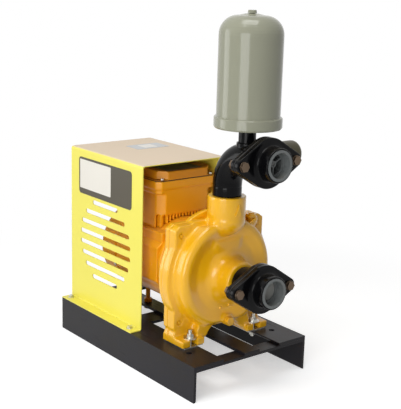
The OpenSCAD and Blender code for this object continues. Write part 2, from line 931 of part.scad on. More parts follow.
module drive_lid_gasket() {
    color(dark) place() difference() {
        drive_block(box_x - 1, box_y0 - 1, box_y1 - 1, box_rim, box_rim + gasket_t, 11);
        drive_block(box_x - 14, box_y0 + 9, box_y1 - 11, box_rim - 1, box_rim + gasket_t + 1, 12);
        lid_screw_bores(2.8, box_rim - 1, box_rim + gasket_t + 1);
    }
}

module drive_lid_screws() {
    seat = box_rim + gasket_t + 1.6;
    color(steel) place() for (x = [-1, 1], y = lid_screw_ys)
        translate([box_mid_x + x * lid_screw_x, y, 0]) difference() {
            union() {
                rod_z(4.2, seat, seat + 3);
                rod_z(2.5, box_band, seat);
            }
            hex_z(4, seat + 1.2, seat + 4);
        }
}

module drive_panel() {
    color(dark) place() block([-45.5, box_y0 + 3.5, lid_top - 1.6], [46.5, 351.5, lid_top]);
}

module drive_board() {
    color("#2E6B3C") place() {
        block([-53, 252, board_z], [64, 371, board_z + 1.6]);
        for (x = [-38, -12, 14]) rod_z(11, board_z + 1.6, board_z + 34, x, 285);
        block([-50, 320, board_z + 1.6], [-10, 350, board_z + 22]);
        block([6, 318, board_z + 1.6], [46, 352, board_z + 14]);
    }
}

module cable_glands() {
    back = box_y1 - 2;
    color(dark) place() for (x = gland_xs) difference() {
        union() {
            rod_y(8, back - 9, back, x, gland_z);
            hex_y(22, back, back + 6, x, gland_z);
            rod_y(9.5, back + 6, back + 10, x, gland_z);
            hex_y(20, back + 10, back + 20, x, gland_z);
            hex_y(21, back - 14, back - 9, x, gland_z);
        }
        rod_y(gland_bore_r, back - 15, back + 21, x, gland_z);
    }
}

// Cover

// Outer line of one half of the bent sheet, from its foot up to the top
function cover_outside(x, bend) = let (foot_z = angle_leg + cover_t) concat(
    [[base_w / 2, angle_leg], [base_w / 2, foot_z]],
    arc(x + 2, foot_z + 2, 2, 270, 180, 4),
    arc(x - bend, cover_top - bend, bend, 0, 90, 6)
);

// Inner line of the same half, from the top down to the foot
function cover_inside(x, bend) = concat(
    arc(x - bend, cover_top - bend, bend - cover_t, 90, 0, 6),
    arc(x - cover_t + 4, angle_leg + 4, 4, 180, 270, 4)
);

// A line of points turned over to the left side and run backwards
function flipped(line) = [for (i = [len(line) - 1:-1:0]) [-line[i][0], line[i][1]]];

// Section of the bent sheet from one foot over the top to the other
module cover_section() {
    bend = 6;
    polygon(concat(
        cover_outside(cover_right, bend), flipped(cover_outside(cover_left, bend)),
        flipped(cover_inside(cover_left, bend)), cover_inside(cover_right, bend)
    ));
}

// Louvre slots: the row of lengths swells to a round pattern
module wall_slots() {
    r = slot_h / 2;
    for (i = [0:len(slot_lengths) - 1]) {
        z = slot_low_z + i * slot_pitch;
        half = slot_lengths[i] / 2 - r;
        block([-200, slot_mid_y - half, z - r], [200, slot_mid_y + half, z + r]);
        for (s = [-1, 1]) translate([-200, slot_mid_y + s * half, z])
            rotate([0, 90, 0]) cylinder(r = r, h = 400);
    }
}

module motor_cover() {
    color(lemon) place() difference() {
        front_slab(cover_y0, cover_y1) cover_section();
        wall_slots();
        for (x = [left_screw_x, right_screw_x], y = cover_screw_ys) rod_z(3.3, 70, 80, x, y);
    }
}

module cover_screws() {
    top = angle_leg + cover_t;
    color(steel) place() for (x = [left_screw_x, right_screw_x], y = cover_screw_ys) {
        rod_z(7, top, top + 1.2, x, y);
        hex_z(10, top + 1.2, top + 5.2, x, y);
        rod_z(3, 60, top, x, y);
    }
}

// Unions

// Oval flange outline: a disc with two smaller ears, joined by tangent lines
module oval_outline() {
    hub_r = 50;
    ear_r = 15;
    reach = flange_bolts / 2;
    a = acos((hub_r - ear_r) / reach);
    circle(hub_r);
    for (s = [-1, 1]) translate([s * reach, 0]) circle(ear_r);
    polygon([for (p = [
        [1, 1, 0], [1, 1, 1], [1, -1, 1], [1, -1, 0], [-1, -1, 0], [-1, -1, 1], [-1, 1, 1], [-1, 1, 0]
    ]) let (r = p[2] ? ear_r : hub_r, x = p[2] ? reach : 0) [p[0] * (x + r * cos(a)), p[1] * r * sin(a)]]);
}

module oval_plate(z, y0, y1) {
    difference() {
        front_slab(y0, y1) translate([0, z]) oval_outline();
        for (s = [-1, 1]) rod_y(5.3, y0 - 1, y1 + 1, s * flange_bolts / 2, z);
    }
}

// Turns the suction union by the small angle it was screwed in at
module suction_turn() {
    translate([0, 0, axis_z]) rotate([0, suction_tilt, 0]) translate([0, 0, -axis_z]) children();
}

// Bolted front flange with the neck that holds the valve
module front_flange(z) {
    difference() {
        union() {
            oval_plate(z, front_flange_y, gasket_y);
            spin_y(z) polygon(concat(
                [[0, port_y + 0.8], [33, port_y + 0.8], [34, port_y + 2], [34, -33]],
                arc(39, -33, 5, 180, 90, 5), [[43, front_flange_y], [43, -20], [0, -20]]
            ));
        }
        rod_y(port_r + 0.1, port_y - 1, gasket_y + 1, 0, z);
        rod_y(34.1, -20.1, gasket_y + 1, 0, z);
    }
}

// Rear flange, welded or cast on the pipe behind it
module rear_flange(z) {
    oval_plate(z, rear_flange_y, rear_flange_back);
}

module outlet_flange() {
    color(black) place() front_flange(outlet_z);
}

module suction_flange() {
    color(black) place() suction_turn() front_flange(axis_z);
}

module outlet_elbow() {
    color(black) place() difference() {
        union() {
            rear_flange(outlet_z);
            spin_y(outlet_z) polygon([
                [0, rear_flange_back - 1], [36, rear_flange_back - 1], [36, rear_flange_back],
                [elbow_r + 3, 0], [elbow_r, 6], [0, 6]
            ]);
            rod_y(elbow_r, 0, boss_y - bend_r, 0, outlet_z);
            bend(elbow_r);
            rod_z(elbow_r, 403, outlet_z - bend_r, 0, boss_y);
            rod_z(elbow_r - 0.8, 400, 403.5, 0, boss_y);
            rod_z(elbow_r, boss_top, 400.5, 0, boss_y);
            rod_z(23.9, boss_top - 22, boss_top + 1, 0, boss_y);
            // boss for the tank's nipple
            rod_z(21, outlet_z, 499, 0, tank_y);
            // branch for the pressure transmitter
            translate([0, branch_y, outlet_z]) rotate([0, 90, 0]) cylinder(r = 16, h = 40);
        }
        rod_y(29.8, -20, -4, 0, outlet_z);
        rod_y(elbow_bore, -5, boss_y - bend_r, 0, outlet_z);
        bend(elbow_bore);
        rod_z(elbow_bore, boss_top - 24, outlet_z - bend_r, 0, boss_y);
        rod_z(nipple_r + 0.05, nipple_z, 500, 0, tank_y);
        rod_z(nipple_bore, outlet_z, nipple_z + 1, 0, tank_y);
        translate([0, branch_y, outlet_z]) rotate([0, 90, 0]) cylinder(r = 6.6, h = 45);
    }
}

// Quarter bend from the upright pipe to the level one
module bend(r) {
    translate([0, boss_y - bend_r, outlet_z - bend_r]) rotate([90, 0, 90])
        rotate_extrude(angle = 90) translate([bend_r, 0]) circle(r);
}

module suction_adaptor() {
    color(black) place() suction_turn() difference() {
        union() {
            rear_flange(axis_z);
            spin_y() polygon([
                [0, rear_flange_back - 1], [36, rear_flange_back - 1], [36, rear_flange_back],
                [33, 1], [31, 5], [31, nozzle_y], [23.9, nozzle_y], [23.9, 57], [0, 57]
            ]);
        }
        rod_y(29.8, -20, -4);
        rod_y(20, -5, 58);
    }
}

module union_gasket(z) {
    difference() {
        front_slab(gasket_y, rear_flange_y) translate([0, z]) oval_outline();
        rod_y(29.9, -20, -10, 0, z);
        for (s = [-1, 1]) rod_y(5.4, -20, -10, s * flange_bolts / 2, z);
    }
}

module union_gaskets() {
    color(dark) place() {
        union_gasket(outlet_z);
        suction_turn() union_gasket(axis_z);
    }
}

module union_bolt(x, z) {
    rod_y(10, front_flange_y - 1.6, front_flange_y, x, z);
    hex_y(17, front_flange_y - 6.6, front_flange_y - 1.6, x, z);
    rod_y(5, front_flange_y, 9, x, z);
    difference() {
        hex_y(17, rear_flange_back + 1.6, rear_flange_back + 10, x, z);
        rod_y(4.9, rear_flange_back, rear_flange_back + 11, x, z);
    }
    difference() {
        rod_y(10, rear_flange_back, rear_flange_back + 1.6, x, z);
        rod_y(4.9, rear_flange_back - 1, rear_flange_back + 3, x, z);
    }
}

module union_bolts() {
    color("#7A6655") place() for (s = [-1, 1]) {
        union_bolt(s * flange_bolts / 2, outlet_z);
        suction_turn() union_bolt(s * flange_bolts / 2, axis_z);
    }
}

// Check valves

// Three arms between the valve wall and the stem's guide
module spider(z, y0, hub_y0, hub_y1) {
    difference() {
        union() {
            for (a = [90, 210, 330]) translate([0, 0, z]) rotate([0, a, 0])
                block([0, y0, -1.8], [valve_chamber_r + 1, y0 + spider_t, 1.8]);
            rod_y(guide_r, hub_y0, hub_y1, 0, z);
        }
        rod_y(stem_r + 0.06, hub_y0 - 1, hub_y1 + 1, 0, z);
    }
}

// Grey valve sleeve: socket, collar and tail; seat_y0 to seat_y1 is the seat ring
module valve_sleeve(z, seat_y0, seat_y1) {
    floor_y = port_y + socket_l;
    spin_y(z) difference() {
        union() {
            translate([0, port_y]) square([port_r, 39]);
            translate([0, -20]) square([34, 3]);
            translate([0, -18]) square([29.5, valve_tail_y + 18]);
        }
        translate([-1, port_y - 1]) square([socket_r + 1, socket_l + 1]);
        translate([-1, floor_y - 1]) square([seat_r + 1, 60]);
        if (seat_y0 < -30) translate([-1, seat_y1]) square([valve_chamber_r + 1, 60]);
        else translate([-1, floor_y + 2]) square([valve_chamber_r + 1, seat_y0 - floor_y - 2]);
    }
}

module suction_valve_body() {
    color(grey) place() {
        valve_sleeve(axis_z, port_y + socket_l, suction_seat_y);
        spider(axis_z, -10, suction_seat_y + poppet_t + poppet_travel + solid_coils + 2, -5);
    }
}

module outlet_valve_body() {
    color(grey) place() {
        valve_sleeve(outlet_z, outlet_seat_y, valve_tail_y);
        spider(outlet_z, -36, -36, outlet_seat_y - poppet_t - poppet_travel - solid_coils);
    }
}

// Disc with its stem; dir is +1 where it opens to the rear
module poppet(z, face_y, dir) {
    spin_y(z) polygon([
        [0, face_y + dir * 0.2], [poppet_r - 1, face_y + dir * 0.2], [poppet_r, face_y + dir * 1.2],
        [poppet_r, face_y + dir * 3], [poppet_r - 2, face_y + dir * 4], [8, face_y + dir * 4],
        [stem_r, face_y + dir * poppet_t], [stem_r, face_y + dir * stem_l], [0, face_y + dir * stem_l]
    ]);
}

module suction_valve_poppet() {
    color("#4A4A48") place() poppet(axis_z, suction_seat_y, 1);
}

module outlet_valve_poppet() {
    color("#4A4A48") place() poppet(outlet_z, outlet_seat_y, -1);
}

// Coil drawn as closed rings between the disc and the guide
module valve_spring(z, y0, y1, coils) {
    step = (y1 - y0 - 2 * wire_r) / (coils - 1);
    spin_y(z) for (i = [0:coils - 1]) translate([5.2, y0 + wire_r + i * step]) circle(wire_r);
}

module suction_valve_spring() {
    color(steel) place() valve_spring(axis_z, suction_seat_y + poppet_t,
        suction_seat_y + poppet_t + poppet_travel + solid_coils + 2, 6);
}

module outlet_valve_spring() {
    color(steel) place() valve_spring(outlet_z, outlet_seat_y - poppet_t - poppet_travel - solid_coils,
        outlet_seat_y - poppet_t, 4);
}

// Pressure transmitter and tank

module pressure_transmitter() {
    color("#6F6A52") place() translate([0, branch_y, outlet_z]) rotate([0, 90, 0]) rotate_extrude()
        polygon(concat(
            [[0, 30], [6.5, 30], [6.5, 40.1], [16, 40.1], [16, 46], [26, 50]],
            arc(14, 115, 12, 0, 90, 6), [[0, 127]]
        ));
}

module tank_nipple() {
    color(black) place() difference() {
        rod_z(nipple_r, nipple_z, tank_z + 10, 0, tank_y);
        rod_z(nipple_bore, nipple_z - 1, tank_z + 11, 0, tank_y);
    }
}

// Outer line of the tank as [radius, z], drawn in by the wall
function tank_line(wall) = let (
        r = tank_d / 2, knuckle = 37, top = tank_top - wall, flat = r - knuckle,
        lift = 4
    ) concat(
        arc(flat, top - lift - knuckle + wall, knuckle - wall, 0, 90, 10),
        [[flat * 0.5, top - lift * 0.3], [0, top]]
    );

module tank_shell() {
    wall = 2;
    r = tank_d / 2;
    band = band_d / 2;
    inner = tank_line(wall);
    color(olive) place() translate([0, tank_y, 0]) difference() {
        rotate_extrude() polygon(concat(
            [[band - 2, tank_z], [band, tank_z + 3], [band, tank_z + 20], [band - 1.5, tank_z + 22]],
            [[r, tank_z + 23]],
            tank_line(0),
            [for (i = [len(inner) - 1:-1:0]) inner[i]],
            [[r - wall, tank_z + 22], [r - wall, tank_z]]
        ));
        cylinder(r = 4.1, h = 900);
    }
}

module tank_base() {
    color(olive) place() translate([0, tank_y, 0]) rotate_extrude() polygon([
        [nipple_r + 0.05, tank_z - 2], [22, tank_z - 2], [24, tank_z], [tank_d / 2 - 2.1, tank_z + 1],
        [tank_d / 2 - 2.1, tank_z + 5], [26, tank_z + 5], [22, tank_z + 12], [nipple_r + 0.05, tank_z + 12]
    ]);
}

module tank_bladder() {
    r = tank_d / 2 - 6;
    wall = 2;
    color(dark) place() translate([0, tank_y, 0]) rotate_extrude() polygon(concat(
        [[r + 3.8, tank_z + 5.1], [r + 3.8, tank_z + 9], [r, tank_z + 11]],
        arc(r - 30, 640, 30, 0, 90, 8), [[0, 672], [0, 670]],
        arc(r - 30, 640, 30 - wall, 90, 0, 8), [[r - wall, tank_z + 9], [r - wall, tank_z + 5.1]]
    ));
}

module tank_air_valve() {
    color(olive) place() translate([0, tank_y, 0]) {
        translate([0, 0, tank_top]) cylinder(r1 = 9, r2 = 7.8, h = 5.5);
        translate([0, 0, tank_top - 16]) cylinder(r = 4, h = 17);
    }
}

left_rail();
right_rail();
crossbars();
centre_strip();
volute_casing();
casing_back_plate();
casing_seal_ring();
casing_bolts();
impeller();
seal_seat();
seal_head();
seal_spring();
drain_plug();
priming_plug();
foot_fasteners();
motor_frame();
front_endshield();
rear_endshield();
stator_core();
stator_windings();
rotor_core();
shaft();
front_bearing_outer();
front_bearing_inner();
rear_bearing_outer();
rear_bearing_inner();
bearing_balls();
wave_washer();
water_slinger();
cooling_fan();
fan_cowl();
cowl_screws();
motor_support_post();
drive_box();
drive_lid();
drive_lid_gasket();
drive_lid_screws();
drive_panel();
drive_board();
cable_glands();
motor_cover();
cover_screws();
outlet_elbow();
outlet_flange();
suction_adaptor();
suction_flange();
union_gaskets();
union_bolts();
outlet_valve_body();
outlet_valve_poppet();
outlet_valve_spring();
suction_valve_body();
suction_valve_poppet();
suction_valve_spring();
pressure_transmitter();
tank_nipple();
tank_shell();
tank_base();
tank_bladder();
tank_air_valve();
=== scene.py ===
"""Dresses a variable speed pump set: painted castings, bare plates, threads, welds and a plain studio."""
import logging
import math
from dataclasses import dataclass
from enum import Enum
from typing import Any

import bmesh
import bpy
import numpy as np
from bmesh.types import BMesh
from bpy.types import Material, Mesh, Node, NodeSocket, NodeTree, Object
from mathutils import Matrix, Vector
from mathutils.bvhtree import BVHTree


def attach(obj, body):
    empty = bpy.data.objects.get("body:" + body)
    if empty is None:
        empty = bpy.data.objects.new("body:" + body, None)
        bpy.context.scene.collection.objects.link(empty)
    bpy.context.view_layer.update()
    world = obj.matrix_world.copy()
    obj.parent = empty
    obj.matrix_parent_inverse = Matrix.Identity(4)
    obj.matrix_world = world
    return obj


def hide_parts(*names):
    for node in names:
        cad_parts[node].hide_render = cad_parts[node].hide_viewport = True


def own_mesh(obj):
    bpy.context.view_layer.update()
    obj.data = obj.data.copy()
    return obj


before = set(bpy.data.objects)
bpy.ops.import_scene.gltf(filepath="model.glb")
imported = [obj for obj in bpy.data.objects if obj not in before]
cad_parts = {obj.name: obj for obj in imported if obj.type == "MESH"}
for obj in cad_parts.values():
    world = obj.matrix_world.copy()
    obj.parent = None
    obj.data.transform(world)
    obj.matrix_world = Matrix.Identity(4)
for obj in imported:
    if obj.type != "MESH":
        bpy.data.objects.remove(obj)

log = logging.getLogger("pump_set")

Rgb = tuple[int, int, int]
Pair = tuple[float, float]
Point = tuple[float, float, float]
# Low and high one way, then low and high the other way
Spans = tuple[float, float, float, float]

ROOT = "pump_set"
# Y of the front end of the base
FRONT = -0.222
# Heights of the shaft and of the outlet
AXIS_Z = 0.2135
OUTLET_Z = 0.468
# Points nearer than this are one point; the solids' triangles need a little more
MERGE = 1e-6
SOLID_MERGE = 2e-6
# Share of the way that one pass of smoothing moves a point
SMOOTHING = 0.5
# How much roughness a full top mask (dust, painted shade or painted sheen) or a full scuff adds
DULLING = 0.35
# Socket types of the node groups
VALUE = "NodeSocketFloat"
COLOR = "NodeSocketColor"
VECTOR = "NodeSocketVector"
WHITE = (1.0, 1.0, 1.0, 1.0)


def linear(color: Rgb) -> tuple[float, float, float, float]:
    """Turns a colour as it is seen on a screen into the linear values that a shader takes.

    Args:
        color: red, green and blue from 0 to 255.

    Returns:
        The linear colour with an alpha of 1.
    """
    parts = [c / 255.0 for c in color]
    r, g, b = (p / 12.92 if p <= 0.04045 else ((p + 0.055) / 1.055) ** 2.4 for p in parts)
    return (r, g, b, 1.0)


def rail(x: float, y: float, z: float) -> Point:
    """Gives a point in metres from millimetres counted from the front end of the base."""
    return (x / 1000.0, y / 1000.0 + FRONT, z / 1000.0)


# Node trees


class NodeKit:
    """Adds nodes to one tree and joins them."""

    def __init__(self, tree: NodeTree) -> None:
        """Keeps the tree that the nodes go into."""
        self.tree = tree

    def add(self, kind: str, inputs: dict[Any, Any] | None = None, **settings: Any) -> Node:
        """Adds one node.

        Args:
            kind: the node's type name.
            inputs: values or sockets for its inputs, by name or number.
            settings: attributes of the node itself.

        Returns:
            The new node.
        """
        node = self.tree.nodes.new(kind)
        for key, value in settings.items():
            setattr(node, key, value)
        for key, value in (inputs or {}).items():
            if isinstance(value, NodeSocket):
                self.tree.links.new(value, node.inputs[key])
            else:
                node.inputs[key].default_value = value
        return node

    def join(self, source: NodeSocket, target: NodeSocket) -> None:
        """Joins two sockets."""
        self.tree.links.new(source, target)

    def calc(self, operation: str, *values: Any, clamp: bool = False) -> NodeSocket:
        """Adds a Math node and gives its result."""
        settings = {"operation": operation, "use_clamp": clamp}
        return self.add("ShaderNodeMath", dict(enumerate(values)), **settings).outputs[0]

    def blend(self, factor: Any, a: Any, b: Any) -> NodeSocket:
        """Adds a colour Mix node and gives its result."""
        return self.add("ShaderNodeMix", {0: factor, 6: a, 7: b}, data_type="RGBA").outputs[2]

    def span(self, value: Any, low: float, high: float, to_low: float = 0.0, to_high: float = 1.0) -> Any:
        """Maps a value smoothly from one range to another and gives the result."""
        sockets = {"Value": value, "From Min": low, "From Max": high, "To Min": to_low, "To Max": to_high}
        return self.add("ShaderNodeMapRange", sockets, interpolation_type="SMOOTHSTEP").outputs["Result"]

    def place(self) -> NodeSocket:
        """Gives the shaded point in the object's own coordinates."""
        return self.add("ShaderNodeTexCoord").outputs["Object"]

    def noise(self, place: Any, scale: Any, detail: float) -> NodeSocket:
        """Adds a noise texture and gives its value."""
        sockets = {"Vector": place, "Scale": scale, "Detail": detail}
        return self.add("ShaderNodeTexNoise", sockets).outputs["Fac"]

    def cells(self, place: Any, scale: Any) -> NodeSocket:
        """Adds a cell texture and gives the distance to the nearest cell's middle."""
        return self.add("ShaderNodeTexVoronoi", {"Vector": place, "Scale": scale}).outputs["Distance"]

    def stretched(self, place: Any, scale: Point) -> NodeSocket:
        """Gives the place with each of its axes scaled."""
        return self.add("ShaderNodeMapping", {"Vector": place, "Scale": scale}).outputs[0]


def emptied(owner: Any) -> NodeKit:
    """Empties the node tree of a material or a world.

    Args:
        owner: the material or the world.
    """
    owner.use_nodes = True
    owner.node_tree.nodes.clear()
    return NodeKit(owner.node_tree)


class Effect(Enum):
    """Surface effects that several finishes share, each kept as one shader group."""

    TONE_DRIFT = "tone_drift"
    ORANGE_PEEL = "orange_peel"
    SAND_CAST = "sand_cast"
    BRUSHED = "brushed_lines"
    MOULDED = "moulded_skin"
    RUBBED_EDGE = "rubbed_edge"
    SETTLED_DUST_AND_PAINTED_LIGHT = "settled_dust"
    SCUFFS = "scuffs"


class EffectShop:
    """Builds the shared shader groups the first time each is asked for."""

    def __init__(self) -> None:
        """Starts with no group built."""
        self.built: dict[Effect, NodeTree] = {}

    def group(self, effect: Effect) -> NodeTree:
        """Gives the group of an effect.

        Args:
            effect: the effect wanted.

        Returns:
            Its shader group.
        """
        if effect not in self.built:
            getattr(self, effect.value)()
        return self.built[effect]

    def start(self, effect: Effect, inputs: dict[str, Any], outputs: dict[str, str]) -> tuple[Any, ...]:
        """Makes and keeps an empty group with named sockets.

        Args:
            effect: the effect; the group takes its name.
            inputs: default value of each input; a 4-tuple makes a colour socket.
            outputs: socket type of each output.
        """
        tree = bpy.data.node_groups.new(effect.value, "ShaderNodeTree")
        for key, value in inputs.items():
            kind = COLOR if isinstance(value, tuple) else VALUE
            tree.interface.new_socket(key, in_out="INPUT", socket_type=kind).default_value = value
        for key, kind in outputs.items():
            tree.interface.new_socket(key, in_out="OUTPUT", socket_type=kind)
        self.built[effect] = tree
        kit = NodeKit(tree)
        return kit, kit.add("NodeGroupInput").outputs, kit.add("NodeGroupOutput").inputs

    def tone_drift(self) -> None:
        """Lets a colour wander a little over the surface."""
        grey, deeper = (0.5, 0.5, 0.5, 1.0), (0.4, 0.4, 0.4, 1.0)
        defaults = {"Color": grey, "Deeper": deeper, "Scale": 8.0, "Amount": 0.5}
        kit, taken, given = self.start(Effect.TONE_DRIFT, defaults, {"Color": COLOR})
        cloud = kit.span(kit.noise(kit.place(), taken["Scale"], detail=5.0), low=0.3, high=0.72)
        mask = kit.calc("MULTIPLY", cloud, taken["Amount"], clamp=True)
        kit.join(kit.blend(mask, taken["Color"], taken["Deeper"]), given["Color"])

    def orange_peel(self) -> None:
        """Gives the slow ripple of sprayed enamel."""
        kit, taken, given = self.start(Effect.ORANGE_PEEL, {"Scale": 300.0}, {"Height": VALUE})
        place = kit.place()
        wave = kit.noise(place, taken["Scale"], detail=1.0)
        slow = kit.noise(place, scale=26.0, detail=2.0)
        kit.join(kit.calc("MULTIPLY_ADD", slow, 2.0, wave), given["Height"])

    def sand_cast(self) -> None:
        """Gives the lumps and pits of a sand casting under its paint."""
        kit, taken, given = self.start(Effect.SAND_CAST, {"Scale": 90.0}, {"Height": VALUE})
        place = kit.place()
        lumps = kit.noise(place, taken["Scale"], detail=4.0)
        fine = kit.noise(place, scale=700.0, detail=2.0)
        pits = kit.span(kit.cells(place, scale=240.0), low=0.05, high=0.22, to_low=-0.5, to_high=0.0)
        kit.join(kit.calc("ADD", kit.calc("MULTIPLY_ADD", fine, 0.25, lumps), pits), given["Height"])

    def brushed_lines(self) -> None:
        """Gives fine turning lines round a vertical axis."""
        kit, taken, given = self.start(Effect.BRUSHED, {"Scale": 60.0}, {"Height": VALUE})
        squeezed = kit.stretched(kit.place(), scale=(1.0, 1.0, 30.0))
        kit.join(kit.noise(squeezed, taken["Scale"], detail=3.0), given["Height"])

    def moulded_skin(self) -> None:
        """Gives the fine leather-like skin of moulded plastic and rubber."""
        kit, taken, given = self.start(Effect.MOULDED, {"Scale": 900.0}, {"Height": VALUE})
        kit.join(kit.cells(kit.place(), taken["Scale"]), given["Height"])

    def rubbed_edge(self) -> None:
        """Rounds edges in the shading and marks where they are rubbed."""
        defaults = {"Radius": 0.001, "Spread": 6.0}
        kit, taken, given = self.start(Effect.RUBBED_EDGE, defaults, {"Mask": VALUE, "Normal": VECTOR})
        soft = kit.add("ShaderNodeBevel", {"Radius": taken["Radius"]}, samples=6).outputs["Normal"]
        flat = kit.add("ShaderNodeNewGeometry").outputs["Normal"]
        dot = kit.add("ShaderNodeVectorMath", {0: soft, 1: flat}, operation="DOT_PRODUCT").outputs["Value"]
        turn = kit.calc("MULTIPLY", kit.calc("SUBTRACT", 1.0, dot), taken["Spread"])
        broken = kit.span(kit.noise(kit.place(), scale=120.0, detail=6.0), low=0.42, high=0.66)
        kit.join(kit.calc("MINIMUM", kit.calc("MULTIPLY", turn, broken), 1.0), given["Mask"])
        kit.join(soft, given["Normal"])

    def settled_dust(self) -> None:
        """Marks surfaces that face up, from a level upwards: dust on most finishes, painted shade on the
        drive lid and a painted pale sheen on the cover's top.
        """
        defaults = {"Amount": 0.5, "Scale": 30.0, "Evenness": 0.0, "Above": -1.0}
        kit, taken, given = self.start(Effect.SETTLED_DUST_AND_PAINTED_LIGHT, defaults, {"Mask": VALUE})
        place = kit.place()
        normal = kit.add("ShaderNodeNewGeometry").outputs["Normal"]
        facing = kit.add("ShaderNodeSeparateXYZ", {0: normal}).outputs["Z"]
        height = kit.add("ShaderNodeSeparateXYZ", {0: place}).outputs["Z"]
        cloud = kit.span(kit.noise(place, taken["Scale"], detail=6.0), low=0.3, high=0.7)
        patchy = kit.calc("MAXIMUM", cloud, taken["Evenness"])
        top_mask = kit.calc("MULTIPLY", kit.span(facing, low=0.55, high=0.98), patchy)
        top_mask = kit.calc("MULTIPLY", top_mask, kit.calc("GREATER_THAN", height, taken["Above"]))
        kit.join(kit.calc("MULTIPLY", top_mask, taken["Amount"]), given["Mask"])

    def scuffs(self) -> None:
        """Marks thin drag lines and duller clouds left by handling."""
        kit, taken, given = self.start(Effect.SCUFFS, {"Scale": 14.0, "Amount": 0.5}, {"Mask": VALUE})
        place = kit.place()
        drawn_out = kit.stretched(place, scale=(1.0, 0.12, 2.2))
        lines = kit.span(kit.noise(drawn_out, scale=160.0, detail=3.0), low=0.56, high=0.7)
        clouds = kit.span(kit.noise(place, taken["Scale"], detail=5.0), low=0.45, high=0.65)
        mask = kit.calc("MULTIPLY", lines, clouds)
        kit.join(kit.calc("MULTIPLY", mask, taken["Amount"]), given["Mask"])


effects = EffectShop()


# Finishes


@dataclass(frozen=True)
class Finish:
    """One finish: its colours, its gloss and the grain that its bump follows."""

    name: str
    color: Rgb
    deeper: Rgb
    rubbed: Rgb
    grain: Effect = Effect.ORANGE_PEEL
    grain_scale: float = 300.0
    grain_depth: float = 0.00003
    metallic: float = 0.0
    roughness: float = 0.35
    specular: float = 0.5
    coat: float = 0.0
    coat_roughness: float = 0.1
    edge: float = 0.0003
    wear: float = 0.3
    # Up-facing top mask: dust on most finishes; on the drive lid it paints shade, and on the cover's top a
    # pale sheen
    dust_and_painted_light: float = 0.0
    dust_and_painted_light_color: Rgb = (196, 184, 164)
    dust_and_painted_light_even: float = 0.0
    dust_and_painted_light_above: float = -1.0
    drift: float = 0.5
    drift_scale: float = 7.0
    scuff: float = 0.2

    def material(self) -> Material:
        """Builds the material, or gives the one already built.

        Returns:
            The material of this finish.
        """
        known = bpy.data.materials.get(self.name)
        if known is not None:
            return known
        made = bpy.data.materials.new(self.name)
        kit = emptied(made)
        colors = {"Color": linear(self.color), "Deeper": linear(self.deeper)}
        tone = self.effect(kit, Effect.TONE_DRIFT, Scale=self.drift_scale, Amount=self.drift, **colors)
        edge = self.effect(kit, Effect.RUBBED_EDGE, Radius=self.edge)
        # top mask: dust, plus the painted shade on the drive lid and the painted pale sheen on the cover's
        # top
        top_settings = {"Amount": self.dust_and_painted_light, "Evenness": self.dust_and_painted_light_even, "Above": self.dust_and_painted_light_above}
        dust_and_painted_light = self.effect(kit, Effect.SETTLED_DUST_AND_PAINTED_LIGHT, **top_settings)
        scuff = self.effect(kit, Effect.SCUFFS, Amount=self.scuff)
        worn = kit.calc("MULTIPLY", edge.outputs["Mask"], self.wear, clamp=True)
        color = kit.blend(worn, tone.outputs["Color"], linear(self.rubbed))
        color = kit.blend(dust_and_painted_light.outputs["Mask"], color, linear(self.dust_and_painted_light_color))
        dull = kit.calc("ADD", dust_and_painted_light.outputs["Mask"], scuff.outputs["Mask"])
        rough = kit.calc("MULTIPLY_ADD", dull, DULLING, self.roughness, clamp=True)
        grain = self.effect(kit, self.grain, Scale=self.grain_scale)
        bump = kit.add("ShaderNodeBump", {
            "Height": grain.outputs["Height"], "Normal": edge.outputs["Normal"],
            "Distance": self.grain_depth, "Strength": 1.0,
        })
        shader = kit.add("ShaderNodeBsdfPrincipled", {
            "Base Color": color, "Roughness": rough, "Normal": bump.outputs["Normal"],
            "Metallic": self.metallic, "Specular IOR Level": self.specular,
            "Coat Weight": self.coat, "Coat Roughness": self.coat_roughness,
        })
        kit.add("ShaderNodeOutputMaterial", {"Surface": shader.outputs[0]})
        return made

    @staticmethod
    def effect(kit: NodeKit, effect: Effect, **values: Any) -> Node:
        """Places a shared group in a material, with its inputs by name, and gives its node."""
        return kit.add("ShaderNodeGroup", values, node_tree=effects.group(effect))


# Mesh helpers


def placed(name: str, data: Any) -> Object:
    """Makes an object and puts it in the scene.

    Args:
        name: the object's name.
        data: its mesh, camera or light.

    Returns:
        The new object.
    """
    made = bpy.data.objects.new(name, data)
    bpy.context.scene.collection.objects.link(made)
    return made


def dress(mesh: Mesh, finish: Finish) -> None:
    """Gives a mesh one finish and no other."""
    mesh.materials.clear()
    mesh.materials.append(finish.material())


def new_piece(name: str, mesh: Mesh, finish: Finish, body: str = ROOT) -> Object:
    """Makes an object of a mesh, dresses it and lets it ride on a body.

    Args:
        name: the piece's name.
        mesh: its mesh, already in place.
        finish: the finish that covers it.
        body: the body that it rides on.

    Returns:
        The new object.
    """
    made = placed(name, mesh)
    dress(mesh, finish)
    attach(made, body)
    return made


def settle(item: Object) -> None:
    """Turns what an object's live modifiers make into its plain mesh.

    Args:
        item: the object; it keeps no modifier.
    """
    bpy.context.view_layer.update()
    shown = item.evaluated_get(bpy.context.evaluated_depsgraph_get())
    mesh = bpy.data.meshes.new_from_object(shown)
    item.modifiers.clear()
    item.data = mesh


def points_of(mesh: Mesh) -> np.ndarray:
    """Gives the places of a mesh's points, one row each."""
    return np.array([vertex.co[:] for vertex in mesh.vertices])


def mesh_of(work: BMesh, name: str) -> Mesh:
    """Turns a mesh being built into a plain one.

    Args:
        work: the mesh being built; it is freed.
        name: the new mesh's name.

    Returns:
        The new mesh.
    """
    mesh = bpy.data.meshes.new(name)
    work.to_mesh(mesh)
    work.free()
    return mesh


